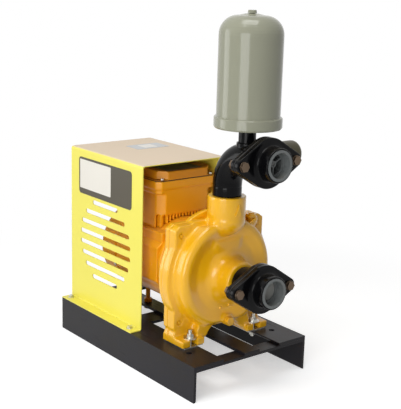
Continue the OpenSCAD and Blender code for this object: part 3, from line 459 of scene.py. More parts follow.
def smooth(mesh: Mesh, angle: float = 180.0) -> None:
    """Shades a mesh smooth, apart from its sharp edges.

    Args:
        mesh: the mesh.
        angle: edges sharper than this many degrees stay sharp.
    """
    mesh.polygons.foreach_set("use_smooth", np.ones(len(mesh.polygons), dtype=bool))
    if angle < 180.0:
        mesh.set_sharp_from_angle(angle=math.radians(angle))


def closed(work: BMesh, name: str, angle: float = 35.0) -> Mesh:
    """Merges doubles, points the faces outwards and gives the mesh.

    Args:
        work: the mesh being built; it is freed.
        name: the mesh's name.
        angle: edges sharper than this many degrees stay sharp.

    Returns:
        The finished mesh.
    """
    bmesh.ops.remove_doubles(work, verts=work.verts, dist=MERGE)
    bmesh.ops.recalc_face_normals(work, faces=work.faces)
    mesh = mesh_of(work, name)
    smooth(mesh, angle)
    return mesh


def solid_copy(node: str, name: str) -> Mesh:
    """Copies a solid's triangles into a mesh whose points are merged.

    Args:
        node: the solid's node.
        name: the new mesh's name.

    Returns:
        The new mesh.
    """
    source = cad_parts[node].data
    work = bmesh.new()
    points = [work.verts.new(p) for p in points_of(source)]
    for face in source.polygons:
        work.faces.new([points[i] for i in face.vertices])
    bmesh.ops.remove_doubles(work, verts=work.verts, dist=SOLID_MERGE)
    return mesh_of(work, name)


def band(work: BMesh, ring: list[Any], after: list[Any]) -> None:
    """Joins two rings of points with faces all the way round."""
    for a, b, c, d in zip(ring, ring[1:] + ring[:1], after[1:] + after[:1], after):
        work.faces.new([a, b, c, d])


def slab(name: str, spans: Spans, radius: float, low: float, high: float, along: int,
         steps: int = 6) -> Mesh:
    """Makes a flat slab with round corners.

    Args:
        name: the mesh's name.
        spans: its size on the two axes that it lies in, in X, Y, Z order.
        radius: radius of its corners.
        low: where it starts on the axis that it faces along.
        high: where it ends.
        along: that axis, 0 for X, 1 for Y and 2 for Z.
        steps: how many lengths make one corner.

    Returns:
        The slab's mesh.
    """
    left, right, bottom, top = spans
    across = (right - radius, left + radius, left + radius, right - radius)
    up = (top - radius, top - radius, bottom + radius, bottom + radius)
    outline = []
    for corner in range(4):
        for i in range(steps + 1):
            turn = math.radians(90.0 * corner + 90.0 * i / steps)
            outline.append((across[corner] + radius * math.cos(turn), up[corner] + radius * math.sin(turn)))
    work = bmesh.new()
    ends = [[work.verts.new((*p[:along], level, *p[along:])) for p in outline] for level in (low, high)]
    for end in ends:
        work.faces.new(end)
    band(work, *ends)
    return closed(work, name)


# Finishes of this set

CASING = Finish(
    "casing_enamel", (238, 180, 15), (228, 163, 11), (150, 132, 100), grain=Effect.SAND_CAST,
    grain_scale=90.0, grain_depth=0.00022, roughness=0.32, specular=0.2, coat=0.7, coat_roughness=0.2,
    edge=0.0016, wear=0.1, dust_and_painted_light=0.05, drift=0.45, scuff=0.15,
)
MOTOR = Finish(
    "motor_enamel", (238, 164, 18), (224, 146, 14), (140, 120, 90), grain=Effect.SAND_CAST,
    grain_scale=140.0, grain_depth=0.00012, roughness=0.34, specular=0.3, coat=0.1, coat_roughness=0.2,
    edge=0.0012, wear=0.12, dust_and_painted_light=0.08, drift=0.4,
)
# Drive lid: a darker copy of the motor enamel, with a dark brown even mask on its top; both are painted
# shade of the cover above it
LID = Finish(
    "motor_enamel_painted_shade", (214, 142, 26), (200, 124, 20), (140, 120, 90), grain=Effect.SAND_CAST,
    grain_scale=140.0, grain_depth=0.00012, roughness=0.4, specular=0.3, edge=0.0012, wear=0.12, dust_and_painted_light=0.85,
    dust_and_painted_light_color=(104, 60, 24), dust_and_painted_light_even=0.8, drift=0.4,
)
# Its up-facing top above 0.42 m takes an even pale pinkish beige: a painted sheen of the light from above
COVER = Finish(
    "cover_powder_coat", (236, 226, 94), (230, 220, 86), (205, 200, 180), grain_scale=420.0,
    grain_depth=0.00002, roughness=0.34, specular=0.3, coat=0.1, coat_roughness=0.15, edge=0.0006, wear=0.2,
    dust_and_painted_light=0.94, dust_and_painted_light_color=(228, 208, 188), dust_and_painted_light_even=1.0, dust_and_painted_light_above=0.42, drift=0.3, scuff=0.1,
)
FITTING = Finish(
    "black_enamel", (8, 8, 10), (13, 13, 14), (96, 88, 76), grain=Effect.SAND_CAST, grain_scale=160.0,
    grain_depth=0.0001, roughness=0.13, specular=0.1, edge=0.0012, wear=0.08, dust_and_painted_light=0.04, drift=0.6,
    scuff=0.15,
)
BASE = Finish(
    "black_base_paint", (27, 26, 32), (28, 25, 26), (92, 82, 74), grain_scale=240.0, grain_depth=0.00006,
    roughness=0.34, specular=0.16, edge=0.0009, wear=0.25, dust_and_painted_light=0.12, dust_and_painted_light_color=(84, 66, 50), drift=0.8,
    drift_scale=11.0, scuff=0.6,
)
ZINC = Finish(
    "zinc_plate", (206, 206, 200), (180, 180, 172), (225, 224, 220), grain=Effect.BRUSHED, grain_scale=90.0,
    grain_depth=0.00002, metallic=1.0, roughness=0.3, edge=0.0004, wear=0.4, dust_and_painted_light=0.1,
)
BROWN = Finish(
    "warm_nickel", (104, 88, 72), (82, 67, 54), (176, 160, 142), grain=Effect.BRUSHED, grain_scale=90.0,
    grain_depth=0.00002, metallic=0.9, roughness=0.34, edge=0.0005, wear=0.6, dust_and_painted_light=0.05,
)
GROUND = Finish(
    "ground_steel", (200, 201, 204), (182, 183, 186), (225, 225, 226), grain=Effect.BRUSHED,
    grain_scale=160.0, grain_depth=0.00001, metallic=1.0, roughness=0.18,
)
LAMINATION = Finish(
    "stacked_sheets", (120, 120, 124), (98, 98, 102), (170, 170, 172), grain=Effect.BRUSHED,
    grain_scale=200.0, grain_depth=0.00006, metallic=0.9, roughness=0.45,
)
COPPER = Finish(
    "varnished_copper", (176, 106, 58), (140, 76, 40), (206, 140, 92), grain=Effect.BRUSHED,
    grain_scale=220.0, grain_depth=0.0002, metallic=0.8, roughness=0.32, coat=0.5, edge=0.0005,
)
BRONZE = Finish(
    "cast_bronze", (170, 138, 76), (146, 112, 58), (210, 182, 120), grain=Effect.SAND_CAST,
    grain_scale=200.0, grain_depth=0.00008, metallic=0.9, edge=0.0006,
)
VALVE = Finish(
    "grey_moulding", (102, 106, 106), (90, 93, 92), (132, 134, 132), grain=Effect.MOULDED,
    grain_depth=0.00002, roughness=0.42, edge=0.0005, dust_and_painted_light=0.1,
)
# Paler than the poppet looks: painted light that offsets the shade deep in the port
POPPET = Finish(
    "poppet_grey_painted_light", (150, 150, 146), (136, 136, 132), (110, 110, 108), grain=Effect.MOULDED,
    grain_depth=0.00002, roughness=0.4, edge=0.0005, dust_and_painted_light=0.05,
)
TANK = Finish(
    "tank_enamel", (142, 143, 125), (134, 135, 117), (186, 184, 172), grain_scale=260.0, roughness=0.16,
    specular=0.2, coat=0.2, coat_roughness=0.06, edge=0.0012, wear=0.1, dust_and_painted_light=0.05, drift=0.3, scuff=0.1,
)
SENSOR = Finish(
    "olive_moulding", (78, 73, 50), (68, 63, 43), (120, 114, 90), grain=Effect.MOULDED,
    roughness=0.36, specular=0.3, edge=0.001, dust_and_painted_light=0.06,
)
DARK = Finish(
    "dark_moulding", (34, 30, 27), (28, 25, 23), (70, 66, 60), grain=Effect.MOULDED, grain_depth=0.00004,
    roughness=0.5, edge=0.0006, dust_and_painted_light=0.2,
)
RUBBER = Finish(
    "black_rubber", (26, 26, 26), (34, 33, 32), (60, 58, 56), grain=Effect.MOULDED, grain_depth=0.00004,
    roughness=0.7, specular=0.3, edge=0.0004, dust_and_painted_light=0.1,
)
CERAMIC = Finish(
    "lapped_ceramic", (222, 216, 204), (212, 206, 192), (236, 232, 224), grain_depth=0.000005,
    roughness=0.12,
)
CARBON = Finish(
    "lapped_carbon", (34, 34, 35), (42, 42, 43), (70, 70, 70), grain=Effect.BRUSHED, grain_depth=0.000005,
    roughness=0.25,
)
BOARD = Finish(
    "lacquered_board", (38, 104, 56), (28, 86, 44), (150, 150, 90), grain_depth=0.00002, roughness=0.25,
    coat=0.4,
)
LABEL = Finish(
    "dark_label_film", (78, 72, 58), (72, 66, 53), (140, 136, 126), grain_depth=0.00001, roughness=0.3,
    specular=0.3, wear=0.2, dust_and_painted_light=0.03, drift=0.3,
)
LABEL_PALE = Finish(
    "pale_label_film", (226, 222, 212), (218, 214, 203), (200, 198, 194), grain_depth=0.00001,
    roughness=0.34, coat=0.2, edge=0.0002, wear=0.2, dust_and_painted_light=0.05, drift=0.4,
)
STICKER = Finish(
    "grey_sticker_film", (176, 180, 182), (166, 171, 174), (210, 210, 210), grain_depth=0.00001,
    roughness=0.3, coat=0.3, edge=0.0002, dust_and_painted_light=0.1, drift=0.4,
)

# Every finish with the solids that it covers
SOLIDS_BY_FINISH = (
    (BASE, "left_rail right_rail crossbars centre_strip"),
    (CASING, "volute_casing casing_back_plate casing_bolts drain_plug priming_plug"),
    (RUBBER, "casing_seal_ring water_slinger drive_lid_gasket union_gaskets tank_bladder"),
    (BRONZE, "impeller"),
    (CERAMIC, "seal_seat"),
    (CARBON, "seal_head"),
    (GROUND, (
        "seal_spring shaft front_bearing_outer front_bearing_inner rear_bearing_outer "
        "rear_bearing_inner bearing_balls wave_washer outlet_valve_spring suction_valve_spring"
    )),
    (ZINC, "foot_fasteners cowl_screws drive_lid_screws cover_screws"),
    (MOTOR, "motor_frame front_endshield rear_endshield fan_cowl motor_support_post drive_box"),
    (LAMINATION, "stator_core rotor_core"),
    (COPPER, "stator_windings"),
    (DARK, "cooling_fan drive_panel cable_glands"),
    (LID, "drive_lid"),
    (BOARD, "drive_board"),
    (COVER, "motor_cover"),
    (FITTING, "outlet_elbow outlet_flange suction_adaptor suction_flange tank_nipple"),
    (BROWN, "union_bolts"),
    (VALVE, "outlet_valve_body suction_valve_body"),
    (POPPET, "outlet_valve_poppet suction_valve_poppet"),
    (SENSOR, "pressure_transmitter"),
    (TANK, "tank_shell tank_base tank_air_valve"),
)
SOLID_FINISH = {name: finish for finish, names in SOLIDS_BY_FINISH for name in names.split()}


def dress_solids() -> None:
    """Gives every solid of the set its finish."""
    for name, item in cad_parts.items():
        dress(item.data, SOLID_FINISH[name])
    log.info("dressed %d solids", len(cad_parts))


# Pieces


@dataclass
class SoftCasting:
    """A casting with the soft corners that a sand mould leaves, over the solid's own form."""

    node: str
    voxel: float = 0.002
    passes: int = 3
    share: float = 0.5

    def shape(self, made: Object) -> None:
        """Changes the form further where a casting needs it; a plain one stays as its solid is."""

    def build(self) -> Object:
        """Makes the casting and lets it stand for its solid.

        Returns:
            The casting.
        """
        finish = SOLID_FINISH[self.node]
        made = new_piece(self.node + "_cast", solid_copy(self.node, self.node + "_cast"), finish)
        made.modifiers.new("grid", "REMESH").voxel_size = self.voxel
        self.shape(made)
        soften = made.modifiers.new("soften", "SMOOTH")
        soften.factor = SMOOTHING
        soften.iterations = self.passes
        made.modifiers.new("thin", "DECIMATE").ratio = self.share
        settle(made)
        smooth(made.data)
        dress(made.data, finish)
        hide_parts(self.node)
        log.info("%s: %d faces", made.name, len(made.data.polygons))
        return made


def ramp(value: np.ndarray, low: float, high: float) -> np.ndarray:
    """Rises smoothly from 0 at low to 1 at high; low may be the larger one."""
    t = np.clip((value - low) / (high - low), 0.0, 1.0)
    return t * t * (3.0 - 2.0 * t)


# The discharge boss: its axis and its radius
BOSS_Y = rail(0, 97, 0)[1]
BOSS_R = 0.0395


@dataclass
class VoluteCasting(SoftCasting):
    """The front casing: a full nozzle, a flat flange face round the bulge and blended roots."""

    node: str = "volute_casing"
    voxel: float = 0.0019
    passes: int = 4
    share: float = 0.6
    face_y: float = rail(0, 113, 0)[1]

    # the nozzle's end: its straight part narrows to its face, and a fillet leads back into the dish
    nozzle_y: float = rail(0, 38, 0)[1]
    nozzle_r: float = 0.037
    bore_r: float = 0.0243
    draft: float = 0.003
    narrowing: tuple[Pair, ...] = ((0.0005, 0.008), (0.0015, 0.002))
    fillet_y: float = 0.024
    fillet_r: float = 0.026
    fillet_angles: tuple[float, ...] = (25.0, 20.0, 15.0, 10.0, 5.0, 0.0)

    # the bulge: its middle, the radii between which it is drawn in, by how much, and the share of that
    # which grows between two places in front of the flange's face
    bulge: Pair = (-0.002, 0.2175)
    bulge_top: Pair = (0.088, 0.114)
    bulge_foot: Pair = (0.1333, 0.1315)
    drawn_in: float = 0.011
    least_share: float = 0.35
    share_ahead: Pair = (0.034, 0.004)
    face_skin: float = 0.0008

    # the raised pad: its middle, half its size and what stands in front of it, then the face that it is
    # lowered to and how its ends run out into the dish
    pad: Point = rail(0, 84, 279.5)
    pad_half: Pair = (0.046, 0.014)
    pad_proud: float = 0.006
    pad_face: float = rail(0, 84.6, 0)[1]
    pad_fall: float = 0.0042
    pad_ends: Pair = (0.027, 0.040)

    # the pry slots at the parting line
    parting: float = rail(0, 137, 0)[1]
    slot_x: float = 0.128
    slot_z: Pair = (0.202, 0.2345)
    slot_front: float = 0.0028
    slot_depth: float = 0.0032

    # above this height the discharge boss stays a plain cylinder
    boss_low: float = 0.342
    boss_skin: float = 0.003

    # blending of the dish: places in front of the flange's face, then radii from the shaft's axis
    dish_ahead: Pair = (0.004, 0.012)
    dish_inner: Pair = (0.040, 0.046)
    dish_outer: Pair = (0.118, 0.106)
    dish_strength: float = 0.5
    # blending where the discharge boss stands on the casing
    shoulder: Point = rail(0, 112, 322)
    shoulder_scale: Point = (1.0, 1.0, 1.15)
    shoulder_reach: Pair = (0.058, 0.044)
    shoulder_top: Pair = (0.337, 0.331)
    # blending round the pad: across, up and behind its middle
    pad_across: Pair = (0.048, 0.036)
    pad_up: Pair = (0.020, 0.012)
    pad_behind: float = 0.02
    pad_strength: float = 0.9
    blend_passes: int = 36
    blend_levels: int = 8

    def nozzle_end(self) -> list[Pair]:
        """Gives the section of the nozzle's end.

        Returns:
            Pairs of a radius and a distance behind the nozzle's face.
        """
        root = self.nozzle_r + self.draft
        back = []
        for angle in self.fillet_angles:
            turn = math.radians(angle)
            r = root + self.fillet_r * (1.0 - math.cos(turn))
            back.append((r, self.fillet_y + self.fillet_r * math.sin(turn)))
        straight = [(root - narrower, y) for narrower, y in self.narrowing]
        return [(self.bore_r, back[0][1])] + back + straight + [(self.nozzle_r, 0.0), (self.bore_r, 0.0)]

    def add_nozzle(self, mesh: Mesh, steps: int = 96) -> None:
        """Adds the ring of the nozzle's end to a mesh.

        Args:
            mesh: the casing's mesh.
            steps: how many faces go round.
        """
        work = bmesh.new()
        turns = [2.0 * math.pi * i / steps for i in range(steps)]
        rings = []
        for r, y in self.nozzle_end():
            spots = [(r * math.cos(a), self.nozzle_y + y, AXIS_Z + r * math.sin(a)) for a in turns]
            rings.append([work.verts.new(spot) for spot in spots])
        for ring, after in zip(rings, rings[1:] + rings[:1]):
            band(work, ring, after)
        bmesh.ops.recalc_face_normals(work, faces=work.faces)
        work.from_mesh(mesh)
        work.to_mesh(mesh)
        work.free()

    def draw_in(self, at: np.ndarray) -> None:
        """Draws the bulge in, so that the flange's flat face shows round its foot.

        Args:
            at: the casing's points.
        """
        y = at[:, 1]
        side = at[:, [0, 2]] - self.bulge
        radius = np.hypot(side[:, 0], side[:, 1])
        far, near = (self.face_y - ahead for ahead in self.share_ahead)
        share = ramp(radius, *self.bulge_top) * ramp(radius, *self.bulge_foot)
        share *= self.least_share + (1.0 - self.least_share) * ramp(y, far, near)
        share *= y < self.face_y + self.face_skin
        moved = radius - self.drawn_in * share
        at[:, [0, 2]] += side * (moved / np.maximum(radius, MERGE) - 1.0)[:, None]

    def lower_pad(self, at: np.ndarray) -> None:
        """Lowers the pad's face and lets its ends run out into the dish.

        Args:
            at: the casing's points.
        """
        x, y, z = at.T
        on_pad = (np.abs(x) < self.pad_half[0]) & (np.abs(z - self.pad[2]) < self.pad_half[1])
        on_pad &= y > self.pad[1] - self.pad_proud
        face = self.pad_face + self.pad_fall * ramp(np.abs(x), *self.pad_ends)
        y[on_pad] = np.maximum(y[on_pad], face[on_pad])

    def cut_slots(self, at: np.ndarray) -> None:
        """Sinks a short slot into each side of the flange at the parting line.

        Args:
            at: the casing's points.
        """
        x, y, z = at.T
        low, high = self.slot_z
        inside = (np.abs(x) > self.slot_x) & (z > low) & (z < high) & (y > self.parting - self.slot_front)
        x[inside] -= np.sign(x[inside]) * self.slot_depth

    def even_boss(self, at: np.ndarray) -> None:
        """Brings what stands proud of the discharge boss back to its cylinder.

        Args:
            at: the casing's points.
        """
        x, y, z = at.T
        away = np.hypot(x, y - BOSS_Y)
        proud = (away > BOSS_R) & (away < BOSS_R + self.boss_skin) & (y < BOSS_Y) & (z > self.boss_low)
        x[proud] *= BOSS_R / away[proud]
        y[proud] = BOSS_Y + (y[proud] - BOSS_Y) * BOSS_R / away[proud]

    def shape(self, made: Object) -> None:
        """Adds the nozzle, shapes the bulge, the pad, the slots and the boss, and blends the roots.

        Args:
            made: the casing with its grid modifier.
        """
        self.add_nozzle(made.data)
        settle(made)
        at = points_of(made.data)
        for change in (self.draw_in, self.lower_pad, self.cut_slots, self.even_boss):
            change(at)
        made.data.vertices.foreach_set("co", at.ravel())
        made.modifiers.new("regrid", "REMESH").voxel_size = self.voxel
        settle(made)
        self.blend(made)

    def blend(self, made: Object) -> None:
        """Smooths the roots strongly and leaves the rims as they are.

        Args:
            made: the casing.
        """
        at = points_of(made.data)
        x, y, z = at.T
        from_axis = np.hypot(x, z - AXIS_Z)
        near, far = (self.face_y - ahead for ahead in self.dish_ahead)
        dish = ramp(y, near, far) * ramp(from_axis, *self.dish_inner) * ramp(from_axis, *self.dish_outer)
        root = np.linalg.norm((at - self.shoulder) * self.shoulder_scale, axis=1)
        root = ramp(root, *self.shoulder_reach) * ramp(z, *self.shoulder_top)
        pad = ramp(np.abs(x - self.pad[0]), *self.pad_across) * ramp(np.abs(z - self.pad[2]), *self.pad_up)
        pad *= y < self.pad[1] + self.pad_behind
        weight = np.maximum(np.maximum(dish * self.dish_strength, root), pad * self.pad_strength)
        group = made.vertex_groups.new(name="roots")
        for level in range(1, self.blend_levels + 1):
            chosen = np.nonzero(np.round(weight * self.blend_levels) == level)[0]
            group.add(chosen.tolist(), level / self.blend_levels, "REPLACE")
        soften = made.modifiers.new("blend", "SMOOTH")
        soften.factor = SMOOTHING
        soften.iterations = self.blend_passes
        soften.vertex_group = group.name


def front_face(mesh: Mesh, x: float, z: float, start: float = -1.0) -> Vector:
    """Finds where a line along Y, starting in front of a mesh, meets the mesh."""
    tree = BVHTree.FromPolygons([v.co for v in mesh.vertices], [p.vertices for p in mesh.polygons])
    return tree.ray_cast(Vector((x, start, z)), Vector((0.0, 1.0, 0.0)))[0]


@dataclass
class PumpEnd:
    """The pump's castings and the small marks that the mould left on them."""

    castings: tuple[SoftCasting, ...] = (VoluteCasting(), SoftCasting("casing_back_plate"))
    # small mould marks: X, Z and radius, and how a ball is stretched into one
    knobs: tuple[Point, ...] = (
        (-0.0142, 0.1445, 0.0027), (0.0079, 0.1476, 0.0029),
        (0.0172, 0.1423, 0.0014), (-0.0511, 0.1395, 0.0012),
    )
    knob_shape: Point = (1.0, 0.9, 1.2)
    # the flow arrow: its middle round the boss, its foot, its tip and half its width
    arrow: tuple[float, float, float, float] = (-0.0011, 0.346, 0.3694, 0.0078)
    arrow_tip: float = 0.0003
    arrow_sunk: float = 0.001
    arrow_relief: float = 0.0021

    def flow_arrow(self, rows: int = 6, across: int = 6) -> Mesh:
        """Makes the raised arrow on the discharge boss that shows which way the water goes.

        Args:
            rows: how many faces go up.
            across: how many faces go across.

        Returns:
            The arrow's mesh.
        """
        work = bmesh.new()
        middle, low, high, half = self.arrow
        sheets = []
        for r in (BOSS_R - self.arrow_sunk, BOSS_R + self.arrow_relief):
            sheet = []
            for i in range(rows + 1):
                wide = half * (1.0 - i / rows) + self.arrow_tip
                turns = [(middle + wide * (2.0 * j / across - 1.0)) / BOSS_R for j in range(across + 1)]
                z = low + (high - low) * i / rows
                sheet.append([work.verts.new((r * math.sin(a), BOSS_Y - r * math.cos(a), z)) for a in turns])
            for i in range(rows):
                for j in range(across):
                    work.faces.new([sheet[i][j], sheet[i][j + 1], sheet[i + 1][j + 1], sheet[i + 1][j]])
            sheets.append(sheet)
        rim = [(0, j) for j in range(across)] + [(i, across) for i in range(rows)]
        rim += [(rows, j) for j in range(across, 0, -1)] + [(i, 0) for i in range(rows, 0, -1)]
        for (i, j), (m, n) in zip(rim, rim[1:] + rim[:1]):
            work.faces.new([sheets[0][i][j], sheets[0][m][n], sheets[1][m][n], sheets[1][i][j]])
        return closed(work, "flow_arrow", angle=30.0)

    def build(self) -> None:
        """Builds the castings and their marks."""
        volute = [casting.build() for casting in self.castings][0]
        work = bmesh.new()
        for x, z, radius in self.knobs:
            place = front_face(volute.data, x, z)
            turn = Matrix.Translation(place) @ Matrix.Diagonal((*self.knob_shape, 1.0))
            bmesh.ops.create_icosphere(work, subdivisions=3, radius=radius, matrix=turn)
        new_piece("casting_knobs", closed(work, "casting_knobs", 180.0), CASING)
        new_piece("flow_arrow", self.flow_arrow(), CASING)


@dataclass
class Castings:
    """Castings that belong together and carry nothing else."""

    castings: tuple[SoftCasting, ...]

    def build(self) -> None:
        """Builds the castings."""
        for casting in self.castings:
            casting.build()


@dataclass
class MotorAndDrive(Castings):
    """The motor's castings and the drive box on its shelf."""

    castings: tuple[SoftCasting, ...] = (
        SoftCasting("front_endshield", voxel=0.0018, passes=2),
        SoftCasting("motor_frame", voxel=0.0022),
        SoftCasting("drive_box", voxel=0.0018, passes=2),
        SoftCasting("drive_lid", voxel=0.0014),
    )


@dataclass(frozen=True)
class Plate:
    """A bare plate: its size where it lies, its corners, and how far its face and its back stand off."""

    name: str
    finish: Finish
    spans: Spans
    corner: float
    face: float
    back: float = -0.0002


@dataclass
class SheetCover:
    """The bare plates that lie on the sheet cover."""

    wall_x: float = -0.1235
    top_z: float = 0.432
    on_wall: tuple[Plate, ...] = (
        Plate("side_plate", LABEL, (0.0364, 0.2444, 0.3305, 0.4137), corner=0.008, face=0.0006),
        Plate("side_panel", LABEL_PALE, (0.1156, 0.2395, 0.3433, 0.4087),
              corner=0.0015, face=0.0009, back=0.0005),
    )
    on_top: tuple[Plate, ...] = (
        Plate("top_plate", STICKER, (-0.022, 0.066, 0.160, 0.211), corner=0.002, face=0.0004),
        Plate("top_panel", LABEL_PALE, (0.004, 0.040, 0.169, 0.202), corner=0.002, face=0.0006),
    )

    def build(self) -> None:
        """Lays the plates on the left wall and on the top."""
        jobs = [(plate, self.wall_x - plate.face, self.wall_x - plate.back, 0) for plate in self.on_wall]
        jobs += [(plate, self.top_z + plate.back, self.top_z + plate.face, 2) for plate in self.on_top]
        for plate, low, high, along in jobs:
            mesh = slab(plate.name, plate.spans, plate.corner, low, high, along)
            new_piece(plate.name, mesh, plate.finish)


@dataclass
class Pipework(Castings):
    """The black castings between the pump, the ports and the tank."""

    castings: tuple[SoftCasting, ...] = (
        SoftCasting("outlet_elbow", voxel=0.0014),
        SoftCasting("outlet_flange", voxel=0.0011),
        SoftCasting("suction_flange", voxel=0.0011),
        SoftCasting("suction_adaptor", voxel=0.0014, passes=2),
    )


class GeoKit(NodeKit):
    """A geometry tree with named inputs that ends in plain geometry with one finish."""

    def __init__(self, name: str, inputs: dict[str, Any]) -> None:
        """Starts a tree with a geometry socket and the named inputs.

        Args:
            name: the tree's name.
            inputs: value of each input; an int makes a whole number socket.
        """
        super().__init__(bpy.data.node_groups.new(name, "GeometryNodeTree"))
        face = self.tree.interface
        face.new_socket("Geometry", in_out="INPUT", socket_type="NodeSocketGeometry")
        for key, value in inputs.items():
            kind = "NodeSocketInt" if isinstance(value, int) else "NodeSocketFloat"
            face.new_socket(key, in_out="INPUT", socket_type=kind).default_value = value
        face.new_socket("Geometry", in_out="OUTPUT", socket_type="NodeSocketGeometry")
        self.values = inputs
        self.taken = self.add("NodeGroupInput").outputs

    def grow(self, copies: dict[str, Any], name: str, seeds: Mesh, finish: Finish) -> Object:
        """Sets copies on points, runs the tree over a mesh of seeds and keeps the result as a plain mesh.

        Args:
            copies: the points, what is set on them and its scale, by the node's own names.
            name: the new piece's name.
            seeds: points or edges that the tree works from.
            finish: the finish of the result.

        Returns:
            The new piece.
        """
        set_on = self.add("GeometryNodeInstanceOnPoints", copies).outputs[0]
        real = self.add("GeometryNodeRealizeInstances", {0: set_on}).outputs[0]
        shaded = self.add("GeometryNodeSetShadeSmooth", {"Geometry": real}).outputs[0]
        painted = self.add("GeometryNodeSetMaterial", {"Geometry": shaded, "Material": finish.material()})
        self.join(painted.outputs[0], self.add("NodeGroupOutput").inputs[0])
        made = new_piece(name, seeds, finish)
        live = made.modifiers.new("grow", "NODES")
        live.node_group = self.tree
        for item in self.tree.interface.items_tree:
            if item.in_out == "INPUT" and item.name in self.values:
                live[item.identifier] = self.values[item.name]
        settle(made)
        log.info("%s: %d faces", name, len(made.data.polygons))
        return made


@dataclass(frozen=True)
class ValveSpring:
    """One coiled spring between a poppet and its guide."""

    node: str
    joint: str
    axis_z: float
    near: float
    far: float
    resting_y: float
    turns: int
    travel: float = 0.008
    coil_r: float = 0.0052
    wire_r: float = 0.0006
    # an end turn rises a little more than the wire is thick, and the wire is a little flatter than round
    rise: float = 1.02
    flatness: float = 0.98

    def build(self, per_turn: int = 28, sides: int = 10) -> None:
        """Winds the spring's wire with a closed turn at each end.

        Args:
            per_turn: how many lengths make one turn.
            sides: how many faces go round the wire.
        """
        total = self.turns * per_turn
        low = self.near + self.wire_r
        high = self.far - self.wire_r
        step = 2.0 * self.wire_r * self.rise
        knots = (0.0, per_turn, total - per_turn, total)
        along = np.interp(np.arange(total + 1), knots, (low, low + step, high - step, high))
        work = bmesh.new()
        rings = []
        for i, y in enumerate(along):
            turn = 2.0 * math.pi * i / per_turn
            ring = []
            for k in range(sides):
                angle = 2.0 * math.pi * k / sides
                r = self.coil_r + self.wire_r * math.cos(angle)
                lift = self.wire_r * math.sin(angle) * self.flatness
                ring.append(work.verts.new((r * math.cos(turn), y + lift, self.axis_z + r * math.sin(turn))))
            rings.append(ring)
        for ring, after in zip(rings, rings[1:]):
            band(work, ring, after)
        work.faces.new(rings[0])
        work.faces.new(list(reversed(rings[-1])))
        made = new_piece(self.node + "_coil", closed(work, self.node + "_coil", angle=50.0), GROUND)
        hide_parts(self.node)
        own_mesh(made)


@dataclass
class CheckValves:
    """The springs of the two check valves in the ports."""

    springs: tuple[ValveSpring, ...] = (
        ValveSpring(
            "suction_valve_spring", "suction_poppet_slide", AXIS_Z,
            near=-0.251, far=-0.235, resting_y=-0.235, turns=6,
        ),
        ValveSpring(
            "outlet_valve_spring", "outlet_poppet_slide", OUTLET_Z,
            near=-0.251, far=-0.237, resting_y=-0.251, turns=5,
        ),
    )

    def build(self) -> None:
        """Builds both springs."""
        for spring in self.springs:
            spring.build()


@dataclass
class Threads:
    """Raised threads on the ends of the foot studs."""

    pitch: float = 0.00125
    wire: float = 0.00042
    radius: float = 0.00385
    length: float = 0.0078
    steps: int = 20
    sides: int = 5
    feet: tuple[Point, ...] = (rail(-86, 97, 101.4), rail(86, 97, 101.4))

    def build(self) -> None:
        """Sweeps a coil round a stud and sets it on both foot studs."""
        values = {"Radius": self.radius, "Length": self.length, "Pitch": self.pitch, "Wire": self.wire}
        kit = GeoKit("thread_coils", values)
        taken = kit.taken
        coil = kit.add("GeometryNodeCurveSpiral", {
            "Resolution": self.steps, "Rotations": kit.calc("DIVIDE", taken["Length"], taken["Pitch"]),
            "Start Radius": taken["Radius"], "End Radius": taken["Radius"], "Height": taken["Length"],
        }).outputs[0]
        sockets = {"Resolution": self.sides, "Radius": taken["Wire"]}
        ring = kit.add("GeometryNodeCurvePrimitiveCircle", sockets).outputs[0]
        sockets = {"Curve": coil, "Profile Curve": ring, "Fill Caps": True}
        ridge = kit.add("GeometryNodeCurveToMesh", sockets).outputs[0]
        seeds = bpy.data.meshes.new("foot_stud_threads")
        seeds.from_pydata(self.feet, [], [])
        copies = {"Points": taken["Geometry"], "Instance": ridge}
        kit.grow(copies, "foot_stud_threads", seeds, ZINC)


@dataclass
class WeldBeads:
    """Beads of weld where the cross bars meet the angles; the seams are in millimetres, for rail()."""

    step: float = 0.0022
    size: float = 0.0021
    scatter: Pair = (0.8, 1.15)
    seed: int = 7
    bars: tuple[Pair, ...] = ((2.0, 33.0), (265.0, 315.0), (467.0, 498.0))
    seam_x: float = 142.5
    # upright seams at a bar's two edges, a little inside them, and one seam under the bar
    upright_z: Pair = (64.0, 67.6)
    upright_inset: float = 0.8
    under_z: float = 63.2
    under_inset: float = 2.0

    def seams(self) -> Mesh:
        """Draws the seams as loose edges.

        Returns:
            The mesh that the beads grow on.
        """
        points = []
        for front, rear in self.bars:
            for side in (-1, 1):
                x = side * self.seam_x
                for y in (front + self.upright_inset, rear - self.upright_inset):
                    points += [rail(x, y, z) for z in self.upright_z]
                under = (front + self.under_inset, rear - self.under_inset)
                points += [rail(x, y, self.under_z) for y in under]
        mesh = bpy.data.meshes.new("weld_beads")
        mesh.from_pydata(points, [(i, i + 1) for i in range(0, len(points), 2)], [])
        return mesh

    def build(self) -> None:
        """Lays overlapping beads along the seams under the angles."""
        kit = GeoKit("weld_beads", {"Step": self.step, "Size": self.size, "Seed": self.seed})
        taken = kit.taken
        line = kit.add("GeometryNodeMeshToCurve", {"Mesh": taken["Geometry"]}).outputs[0]
        spots = kit.add("GeometryNodeResampleCurve", {"Curve": line, "Length": taken["Step"]}, mode="LENGTH")
        drop = kit.add("GeometryNodeMeshIcoSphere", {"Radius": taken["Size"], "Subdivisions": 2}).outputs[0]
        # sockets 2 and 3 of Random Value are the low and the high of a plain number
        low, high = self.scatter
        vary = kit.add("FunctionNodeRandomValue", {2: low, 3: high, "Seed": taken["Seed"]}).outputs[1]
        copies = {"Points": spots.outputs[0], "Instance": drop, "Scale": vary}
        kit.grow(copies, "weld_beads", self.seams(), BASE)


# Studio


